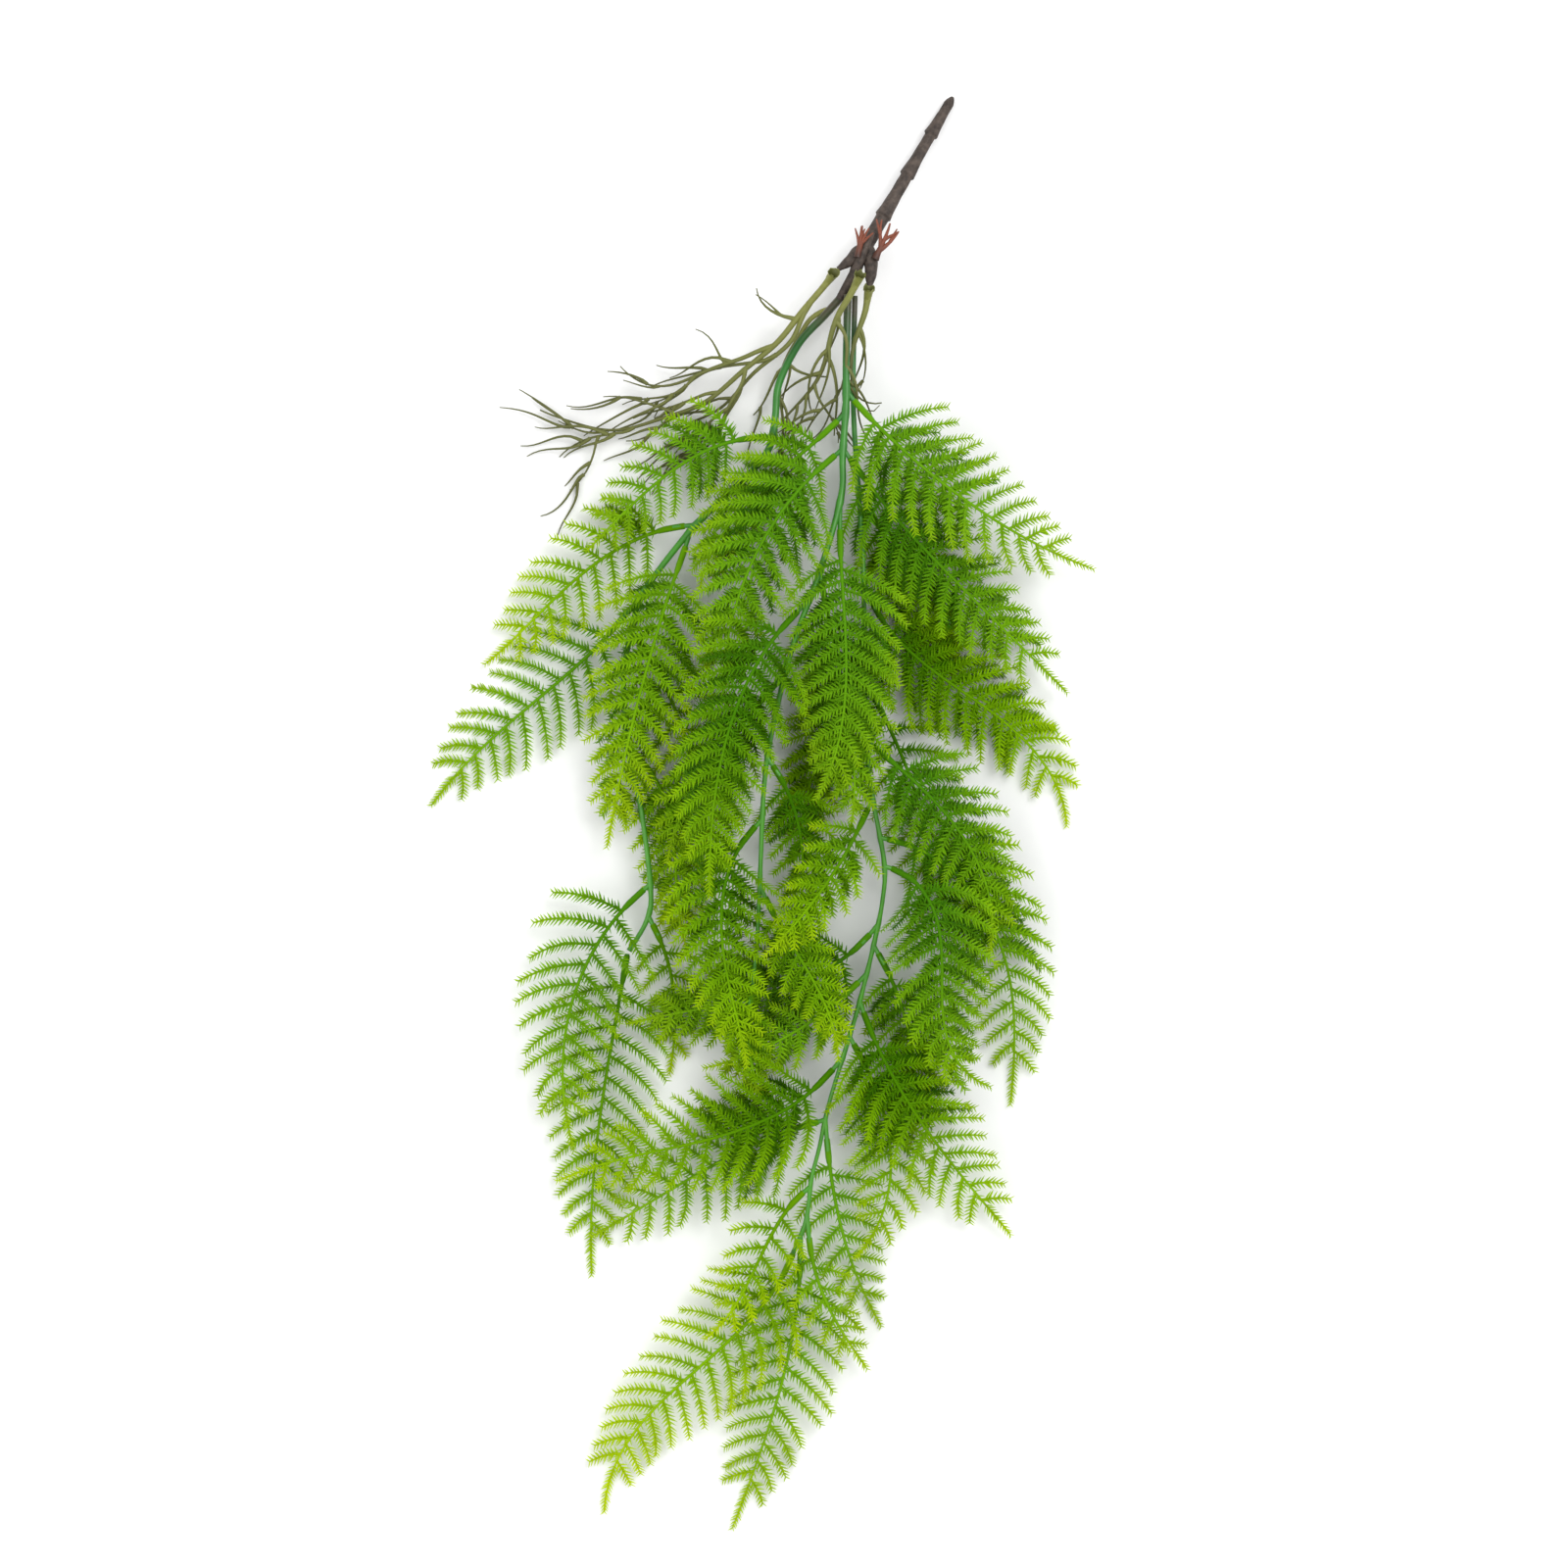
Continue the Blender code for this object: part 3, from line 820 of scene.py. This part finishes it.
class PinnaMould:
    """A side shoot: a curved spine with ranks of needles on both sides and above."""

    def __init__(self, length, side, curl, size: NeedleSize, needle, rng) -> None:
        """Build the shoot along +X, curling towards its own side.

        Args:
            length: Length of the spine.
            side: 1 where it grows to the left of the rachis, -1 to the right.
            curl: Degrees that it turns forward over its length.
            size: Sizes of the needles.
            needle: Mould of one needle.
            rng: Source of small seeded differences.
        """
        mesh = bmesh.new()
        steps = max(3, round(length / 0.006))
        turn = math.radians(-side * curl)
        spine, ways = self.curve(length, turn, 40)
        knots = [spine[round(40 * i / steps)] for i in range(steps + 1)]
        radii = [0.00088 - 0.0004 * i / steps for i in range(steps + 1)]
        grow_tube(mesh, knots, radii, 5)
        count = round(length / size.pitch)
        for index in range(1, count + 1):
            share = index / count
            place = min(40, round(40 * share))
            young = 1.0 - 0.35 * share**3
            for rank in self.ranks(index, share, size, rng):
                yaw, pitch, scale = rank
                matrix = (
                    Matrix.Translation(spine[place])
                    @ Matrix.Rotation(ways[place] + yaw, 4, "Z")
                    @ Matrix.Rotation(-pitch, 4, "Y")
                    @ Matrix.Rotation(rng.uniform(-0.5, 0.5), 4, "X")
                    @ Matrix.Scale(scale * young, 4)
                )
                copy_in(mesh, needle.data, matrix)
        self.length = length
        self.data = bpy.data.meshes.new("pinna_mould")
        mesh.to_mesh(self.data)
        mesh.free()

    @staticmethod
    def curve(length, turn, steps):
        """Places and headings along a spine that bends by a turn."""
        spot = Vector((0.0, 0.0, 0.0))
        places, ways = [spot.copy()], [0.0]
        for index in range(steps):
            share = (index + 0.5) / steps
            way = turn * share**1.3
            spot = spot + Vector((math.cos(way), math.sin(way), 0.0)) * length / steps
            places.append(spot.copy())
            ways.append(way)
        return places, ways

    @staticmethod
    def ranks(index, share, size, rng):
        """Turn, tilt and scale of each needle that leaves one place on the spine."""
        lean = math.radians(size.lean - 14.0 * share)
        found = []
        for side in (-1.0, 1.0):
            yaw = side * (lean + rng.uniform(-0.12, 0.12))
            found.append((yaw, rng.uniform(-0.08, 0.42), rng.uniform(0.86, 1.08)))
        for turn in (-1.0, 1.0):
            yaw = rng.uniform(0.4, 1.1) * turn
            found.append((yaw, rng.uniform(0.55, 1.0), rng.uniform(0.62, 0.85)))
            if index % 2:
                break
        return found


class MouldShop:
    """Moulds of side shoots in steps of length, made once and used by every frond."""

    STEP = 0.004
    SHORTEST = 0.010
    LONGEST = 0.050

    def __init__(self, rng) -> None:
        """Cut all moulds."""
        size = NeedleSize()
        needle = NeedleMould(size)
        self.sides = {}
        for side in (-1, 1):
            row = []
            length = self.SHORTEST
            while length <= self.LONGEST:
                for _ in range(2):
                    curl = rng.uniform(16.0, 34.0)
                    row.append(PinnaMould(length, side, curl, size, needle, rng))
                length += self.STEP
            self.sides[side] = row
        self.needle = needle
        self.straight = [
            PinnaMould(0.010 + 0.004 * i, 1, 2.0, size, needle, rng) for i in range(6)
        ]

    def pick(self, side, length, rng):
        """The mould nearest a length for one side, of two that differ a little."""
        step = round((length - self.SHORTEST) / self.STEP)
        row = self.sides[side]
        step = min(len(row) // 2 - 1, max(0, step))
        return row[2 * step + int(rng.integers(2))]


class Frond:
    """One moulded frond: socket, rachis, alternate side shoots and a needled tip."""

    LAY_STEPS = 60
    FULL_DEPTH = 0.69
    LEAST_ROOM = 0.009
    KNEE = 0.003
    LIFT = 0.0003
    TWIST = 0.16

    def __init__(self, name, plan: FrondPlan, line: StemLine, shop, material, rng):
        """Assemble the frond flat, then drape it over the heap."""
        self.plan = plan
        self.line = line
        self.length = plan.length * MM
        self.size = FrondSize()
        mesh = bmesh.new()
        self.make_rachis(mesh)
        self.make_shoots(mesh, shop, rng)
        self.piece = publish(mesh, f"leafage_{name}", material, (name,), 70.0)
        self.drape(rng)

    def make_rachis(self, mesh) -> None:
        """The smooth socket and the stalk that runs out of it."""
        size = self.size
        socket = size.socket * min(1.0, self.length / 0.120)
        points, radii = [], []
        for place, radius in ((0.0, 0.88), (0.06, 1.0), (0.7, 1.0), (0.92, 0.86), (1.0, 0.68)):
            points.append(Vector((socket * place, 0.0, 0.0)))
            radii.append(SOCKET_RADIUS * radius)
        count = max(8, round(self.length / 0.006))
        for index in range(1, count + 1):
            share = index / count
            points.append(Vector((socket + (self.length - socket) * share, 0.0, 0.0)))
            radii.append(size.rachis + (size.rachis_tip - size.rachis) * share)
        grow_tube(mesh, points, radii, 8)
        self.socket = socket

    def make_shoots(self, mesh, shop, rng) -> None:
        """Alternate side shoots, short needles between them, and the tip."""
        size = self.size
        last = self.length * (1.0 - size.bare_tip)
        count = max(4, round((last - self.socket) / size.pitch))
        pitch = (last - self.socket) / count
        full = size.reach * min(1.0, self.length / 0.150)
        for index in range(count):
            for side in (-1, 1):
                root = self.socket + pitch * (index + 0.30 + 0.22 * side)
                share = root / self.length
                swell = 0.84 + 0.50 * share - 1.22 * share**1.6
                reach = full * swell * 1.12 * rng.uniform(0.93, 1.05)
                mould = shop.pick(side, reach, rng)
                sweep = 76.0 - 22.0 * share + rng.uniform(-4.0, 4.0)
                matrix = (
                    Matrix.Translation((root, 0.0, 0.0))
                    @ Matrix.Rotation(math.radians(side * sweep), 4, "Z")
                    @ Matrix.Rotation(rng.uniform(-0.07, 0.05), 4, "Y")
                    @ Matrix.Rotation(rng.uniform(-0.35, 0.35), 4, "X")
                    @ Matrix.Scale(reach / mould.length, 4, (1.0, 0.0, 0.0))
                )
                copy_in(mesh, mould.data, matrix)
                room = self.room_at(share)
                if room > self.LEAST_ROOM:
                    self.underlayer(mesh, shop, root + pitch / 2, side, reach, room, rng)
        tip_length = self.length - last + 0.004
        tip = min(shop.straight, key=lambda mould: abs(mould.length - tip_length))
        slim = Matrix.Diagonal((1.0, 0.78, 0.78, 1.0))
        copy_in(mesh, tip.data, Matrix.Translation((last - 0.002, 0.0, 0.0)) @ slim)
        place = self.socket + 0.002
        while place < last:
            for side in (-1.0, 1.0):
                matrix = (
                    Matrix.Translation((place, side * 0.0008, 0.0004))
                    @ Matrix.Rotation(side * rng.uniform(0.7, 1.1), 4, "Z")
                    @ Matrix.Rotation(-rng.uniform(0.3, 0.8), 4, "Y")
                    @ Matrix.Scale(rng.uniform(0.55, 0.75), 4)
                )
                copy_in(mesh, shop.needle.data, matrix)
            place += 0.0036

    def room_at(self, share) -> float:
        """Room under the rachis at a share of its length; none outside the heap."""
        start, _ = self.line.start_of(self.plan)
        route = walk(np.array(start), self.plan.headings, self.length, self.LAY_STEPS)
        spot = route[min(self.LAY_STEPS, round(share * self.LAY_STEPS))]
        depth = float(heap_depth(spot[0], spot[1]))
        if depth < self.FULL_DEPTH:
            return 0.0
        fall = ease((share - TIP_DROP_START) / (1.0 - TIP_DROP_START))
        return self.plan.level * LAYER_PITCH * depth * (1.0 - self.plan.drop * float(fall))

    def underlayer(self, mesh, shop, root, side, reach, room, rng) -> None:
        """Shoots that hang below the rachis where the heap is full."""
        steepest = math.asin(min(0.7, room / reach))
        for part in (0.45, 1.0):
            droop = steepest * part
            length = reach * rng.uniform(0.75, 0.98)
            mould = shop.pick(side, length, rng)
            sweep = math.radians(side * (66.0 - 18.0 * root / self.length))
            matrix = (
                Matrix.Translation((root, 0.0, -0.0006))
                @ Matrix.Rotation(sweep + rng.uniform(-0.25, 0.25), 4, "Z")
                @ Matrix.Rotation(droop * rng.uniform(0.85, 1.0), 4, "Y")
                @ Matrix.Rotation(rng.uniform(-0.5, 0.5), 4, "X")
            )
            copy_in(mesh, mould.data, matrix)

    def drape(self, rng) -> None:
        """Bend the flat frond along its route and lay it on the layers of the heap."""
        data = self.piece.data
        co = np.empty(len(data.vertices) * 3, dtype=np.float32)
        data.vertices.foreach_get("co", co)
        s, v, w = co.reshape(-1, 3).astype(float).T
        t = s / self.length
        start, _ = self.line.start_of(self.plan)
        route = walk(np.array(start), self.plan.headings, self.length, self.LAY_STEPS)
        inside = np.clip(t, 0.0, 1.0)
        place = inside * self.LAY_STEPS
        low = np.minimum(self.LAY_STEPS - 1, place.astype(int))
        part = (place - low)[:, None]
        spot = route[low] * (1 - part) + route[low + 1] * part
        angle = heading_at(inside, self.plan.headings)
        ahead = np.stack([np.cos(angle), np.sin(angle)], axis=1)
        spot += ahead * (s - inside * self.length)[:, None]
        spot += np.stack([-np.sin(angle), np.cos(angle)], axis=1) * v[:, None]
        own = self.line.plan.level
        level = own + (self.plan.level - own) * ease(s / RISE_LENGTH)
        height = layer_height(spot[:, 0], spot[:, 1], level) - FLOOR_GAP
        height *= 1.0 - self.plan.drop * ease((t - TIP_DROP_START) / (1.0 - TIP_DROP_START))
        height -= PINNA_DROOP * (np.abs(v) / 0.040) ** 2
        calm = 1.0 - 0.65 * float(ease(self.plan.level / 6.5))
        height += v * rng.uniform(-self.TWIST, self.TWIST) * ease(s / 0.05) * calm
        phase = rng.uniform(0.0, 6.28, 2)
        ripple = np.sin(s / 0.011 + phase[0]) * np.sin(v / 0.016 + phase[1])
        height += 0.0011 * ripple * ease(np.abs(v) / 0.02)
        free = FLOOR_GAP + height + w
        knee, lift = self.KNEE, self.LIFT
        pressed = lift + (knee - lift) * np.exp(np.minimum(0.0, free / knee - 1.0))
        level = np.where(free > knee, free, pressed)
        laid = np.column_stack([spot, level]).astype(np.float32)
        data.vertices.foreach_set("co", laid.ravel())
        data.update()
        reach = self.size.reach * min(1.0, self.length / 0.150)
        out = np.clip(np.abs(v) / reach, 0.0, 1.0)
        age = 0.10 + 0.64 * out**1.4 + 0.62 * np.clip(t, 0, 1) ** 2.2
        # Painted shade: fronds are coloured darker where the heap is deep and lighter out at its
        # rim.
        age += 0.42 * (0.72 - heap_depth(spot[:, 0], spot[:, 1]))
        # A random tone for each frond, and painted shade: shoots that hang below the rachis are
        # coloured darker.
        age += 0.12 * rng.uniform(-1.0, 1.0) - 0.5 * np.clip(-w / 0.014, 0.0, 1.0)
        store(data, "age", np.clip(age, 0.0, 1.0))
        store(data, "tone", np.full(len(s), rng.uniform(0.0, 1.0)))


class RootSpray:
    """Round forked roots that taper to hairs, with an open collar at the top."""

    SIDES = 8
    FULLNESS = 1.28
    HAIRS = {
        "root_spray_left": 34,
        "root_spray_mid": 11,
        "root_spray_right": 3,
        "root_spray_dark": 6,
    }

    def __init__(self, name, start, collar, strands, material, slot, rng) -> None:
        """Build every strand of the spray as one piece."""
        mesh = bmesh.new()
        lines, ages = [], []
        for strand in (*strands, *self.hairs(strands, self.HAIRS.get(name, 0), rng)):
            points, base_age = self.route(strand, lines, Vector(start) * MM, rng)
            count = len(points) - 1
            radii = []
            for index in range(count + 1):
                part = index / count
                flare = 0.35 * math.exp(-((part * strand.length / 4.0) ** 2))
                radius = strand.thick + (strand.thin - strand.thick) * part**1.25
                radius *= self.FULLNESS
                radii.append(radius * (1.0 + flare) * MM)
            grow_tube(mesh, points, radii, self.SIDES)
            lines.append(points)
            for index in range(count + 1):
                rise = base_age + (1.0 - base_age) * index / count
                ages.extend([rise] * self.SIDES)
        if collar:
            before = len(mesh.verts)
            self.collar(mesh, lines[0], rng)
            made = len(mesh.verts) - before
            ages.extend([0.0] * (made * 4 // 7) + [1.0] * (made - made * 4 // 7))
        mesh.verts.index_update()
        self.piece = publish(mesh, f"roots_{name}", material, (name,), 60.0)
        store(self.piece.data, "age", ages)

    @staticmethod
    def hairs(strands, count, rng):
        """Seeded side roots that leave the planned strands and bend back."""
        hosts = [i for i, strand in enumerate(strands) if strand.length > 28]
        made = []
        for _ in range(count):
            parent = hosts[int(rng.integers(len(hosts)))]
            host = strands[parent]
            share = rng.uniform(0.25, 0.9)
            base = math.degrees(float(heading_at(share, host.headings)))
            bend = rng.uniform(22.0, 48.0) * (1.0 if rng.random() < 0.5 else -1.0)
            headings = (base + bend, base + bend * 0.15, base + bend * rng.uniform(-0.5, 1.1))
            length = rng.uniform(18.0, 46.0)
            thick = 0.85 - 0.25 * share
            low = host.tip_height * rng.uniform(0.6, 1.1)
            made.append(Strand(parent, share, length, headings, thick, 0.22, low))
        return made

    @staticmethod
    def route(strand, lines, start, rng):
        """A smooth, slightly wandering line for one strand and how old it begins."""
        base_age = 0.0
        if strand.parent is not None:
            row = lines[strand.parent]
            place = strand.share * (len(row) - 1)
            low = min(len(row) - 2, int(place))
            start = row[low].lerp(row[low + 1], place - low)
            base_age = min(0.9, strand.share * 0.6 + (0.25 if strand.parent else 0.1))
        count = max(5, round(strand.length / 3.5))
        flat = walk(np.array(start.xy), strand.headings, strand.length * MM, count)
        phase = rng.uniform(0.0, 6.28)
        swing = rng.uniform(0.8, 1.9) * MM
        points = []
        for index, spot in enumerate(flat):
            part = index / count
            fall = float(ease(part)) ** 1.5
            height = start.z + (strand.tip_height * MM - start.z) * fall
            wave = math.sin(part * strand.length / 8.5 + phase) - math.sin(phase)
            angle = float(heading_at(part, strand.headings))
            side = Vector((-math.sin(angle), math.cos(angle), 0.0)) * wave * swing
            spot = Vector((float(spot[0]), float(spot[1]), height)) + side * ease(part * 4)
            spot.z = max(spot.z, 0.0008)
            points.append(spot)
        return points, base_age

    @staticmethod
    def collar(mesh, line, rng) -> None:
        """A thin open sleeve with a torn rim over the top of the first strand."""
        way = (line[0] - line[2]).normalized()
        base = line[0] - way * 0.0045
        way = (way + Vector((0.0, 0.0, 1.0))).normalized()
        outer = [(0.0, 0.0016), (0.003, 0.0024), (0.0055, 0.0025), (0.0080, 0.0033)]
        inner = [(0.0075, 0.0027), (0.0055, 0.0020), (0.003, 0.0012)]
        profile = outer + inner
        points = [base + way * along for along, _ in profile]
        sides = 12
        made = bmesh.ops.create_circle(mesh, cap_ends=True, segments=sides, radius=1.0)
        order = list(made["verts"])
        torn = [rng.uniform(-0.0016, 0.0016) for _ in range(sides)]
        ring_places = section(points[0], way, profile[0][1], sides)
        for vert, place in zip(order, ring_places):
            vert.co = place
        edges = list(order[0].link_faces[0].edges)
        for index in range(1, len(profile)):
            out = bmesh.ops.extrude_edge_only(mesh, edges=edges)["geom"]
            fresh = [item for item in out if isinstance(item, bmesh.types.BMVert)]
            edges = [item for item in out if isinstance(item, bmesh.types.BMEdge)]
            edges = [edge for edge in edges if set(edge.verts) <= set(fresh)]
            near = {vert.co.copy().freeze(): vert for vert in fresh}
            order = [near[old.co.copy().freeze()] for old in order]
            places = section(points[index], way, profile[index][1], sides)
            for corner, (vert, place) in enumerate(zip(order, places)):
                rim = 1.0 if index in (3, 4) else 0.0
                vert.co = place + way * torn[corner] * rim
        mesh.faces.new(order)


class BrownStem:
    """The ribbed brown stem, its node rings, swollen crown and flared legs."""

    TIP = Vector((0.1075, 0.3975, 0.0032))
    CROWN = Vector((0.0590, 0.3120, 0.0240))
    RINGS = (0.24, 0.50, 0.77)
    LIP = 0.0010
    SIDES = 28

    def __init__(self, material, rng) -> None:
        """Build the stem as one piece."""
        mesh = bmesh.new()
        self.make_shaft(mesh, rng)
        legs = (
            ((59.0, 313.0, 24.0), (51.0, 304.5, 26.0), (43.6, 299.0, 26.3), (2.6, 4.1, 3.0, 1.5)),
            ((59.5, 314.0, 24.0), (61.8, 302.0, 25.0), (60.9, 288.0, 27.0), (3.0, 4.2, 3.4, 1.4)),
            ((58.0, 310.0, 23.0), (53.5, 299.0, 23.5), (49.2, 284.0, 23.5), (3.2, 3.4, 3.0, 2.2)),
            ((62.5, 320.0, 27.5), (54.0, 300.0, 28.0), (44.5, 283.0, 22.5), (1.9, 2.6, 2.6, 2.3)),
        )
        for begin, middle, end, widths in legs:
            self.make_leg(mesh, begin, middle, end, widths, rng)
        self.piece = publish(
            mesh, "brown_stem", material, ("main_stem",), 35.0
        )

    def make_shaft(self, mesh, rng) -> None:
        """Extrude the shaft ring by ring, each length swelling up to an overlap."""
        axis = self.CROWN - self.TIP
        length = axis.length
        axis.normalize()
        points, radii = [], []
        count = 96
        phases = rng.uniform(0.0, 6.28, 4)
        for index in range(count + 1):
            share = index / count
            along = -0.0008 + (length + 0.006) * share
            base = 0.0027 + 0.0014 * share
            step = 0.0
            for ring in self.RINGS:
                away = share - ring
                if -0.16 < away <= 0.0:
                    step = self.LIP * (1.0 + away / 0.16) ** 2
            dome = math.sqrt(min(1.0, 0.12 + share * 22.0))
            wobble = 0.00006 * math.sin(share * 60.0 + phases[0])
            radii.append(base * dome + step + wobble)
            place = self.TIP + axis * along
            place.z = max(place.z, radii[-1] + 0.0001)
            points.append(place)
        rings = grow_tube(mesh, points, radii, self.SIDES)
        for index, ring in enumerate(rings):
            for corner, vert in enumerate(ring):
                angle = 2 * math.pi * corner / self.SIDES
                groove = math.sin(5 * angle + phases[1]) + 0.6 * math.sin(
                    9 * angle + phases[2] + index * 0.05
                )
                away = vert.co - points[index]
                vert.co = points[index] + away * (1.0 + 0.022 * groove)

    def make_leg(self, mesh, begin, middle, end, widths, rng) -> None:
        """One flared leg that runs from the crown to where a stem or collar begins."""
        corners = [Vector(place) * MM for place in (begin, middle, end)]
        points = smooth_route(corners, 0.0012)
        radii = []
        for index in range(len(points)):
            place = index / (len(points) - 1) * (len(widths) - 1)
            low = min(len(widths) - 2, int(place))
            part = float(ease(place - low))
            radii.append((widths[low] * (1 - part) + widths[low + 1] * part) * MM)
        phase = rng.uniform(0.0, 6.28)
        rings = grow_tube(mesh, points, radii, 18)
        for index, ring in enumerate(rings):
            for corner, vert in enumerate(ring):
                groove = math.sin(4 * 2 * math.pi * corner / 18 + phase)
                away = vert.co - points[index]
                vert.co = points[index] + away * (1.0 + 0.03 * groove)


class Studio:
    """Pale floor, soft light from all round and a camera that looks straight down."""

    def __init__(self) -> None:
        """Build the floor, the lights and the camera."""
        self.make_floor()
        self.make_light()
        self.make_camera()

    @staticmethod
    def make_floor() -> None:
        """A large plain floor just under the spray."""
        mesh = bmesh.new()
        bmesh.ops.create_grid(mesh, x_segments=1, y_segments=1, size=6.0)
        data = bpy.data.meshes.new("studio_floor")
        mesh.to_mesh(data)
        mesh.free()
        floor = bpy.data.objects.new("studio_floor", data)
        bpy.context.scene.collection.objects.link(floor)
        paint = Shader("studio_floor_paint")
        paint.out.inputs["Base Color"].default_value = linear("#f7f7f7")
        paint.out.inputs["Roughness"].default_value = 0.9
        paint.out.inputs["Specular IOR Level"].default_value = 0.1
        data.materials.append(paint.material)

    @staticmethod
    def make_light() -> None:
        """A bright even surround and two large soft panels overhead."""
        world = bpy.data.worlds.new("studio_world")
        bpy.context.scene.world = world
        world.use_nodes = True
        back = world.node_tree.nodes["Background"]
        back.inputs["Color"].default_value = (1.0, 1.0, 1.0, 1.0)
        back.inputs["Strength"].default_value = 0.72
        for name, place, size, power in (
            ("key_panel", (0.9, 0.9, 1.9), 1.2, 26.0),
            ("fill_panel", (-1.1, -0.5, 1.7), 1.6, 14.0),
        ):
            lamp = bpy.data.lights.new(name, "AREA")
            lamp.shape = "SQUARE"
            lamp.size = size
            lamp.energy = power
            made = bpy.data.objects.new(name, lamp)
            made.location = place
            made.rotation_mode = "QUATERNION"
            made.rotation_quaternion = Vector(place).to_track_quat("Z", "Y")
            bpy.context.scene.collection.objects.link(made)

    @staticmethod
    def make_camera() -> None:
        """A long lens over the spray, with the brown stem at the top of the frame."""
        data = bpy.data.cameras.new("camera")
        data.sensor_width = 36.0
        data.lens = 83.0
        data.clip_start = 0.05
        data.clip_end = 20.0
        camera = bpy.data.objects.new("camera", data)
        camera.location = (0.0138, 0.0151, 2.02)
        bpy.context.scene.collection.objects.link(camera)
        bpy.context.scene.camera = camera


def main() -> None:
    """Build every piece, then the studio."""
    rng = np.random.default_rng(SEED)
    scene = bpy.context.scene
    scene.view_settings.view_transform = "Standard"
    brown = BrownPlastic().build()
    russet = RussetPlastic().build()
    olive = OlivePlastic().build()
    green = GreenTube().build()
    leaf = FrondPlastic().build()
    BrownStem(brown, rng)
    for name, (start, collar, strands) in ROOTS.items():
        small = name.startswith("rootlet")
        material = russet if small else olive
        slot = Slot.RUSSET if small else Slot.OLIVE
        RootSpray(name, start, collar, strands, material, slot, rng)
    shop = MouldShop(rng)
    for side, plan in STEMS.items():
        line = StemLine(plan)
        GreenStem(side, line, FRONDS[side], green)
        for number, frond in enumerate(FRONDS[side], 1):
            Frond(f"frond_{side}_{number:02d}", frond, line, shop, leaf, rng)
    Studio()


if __name__ == "__main__":
    main()
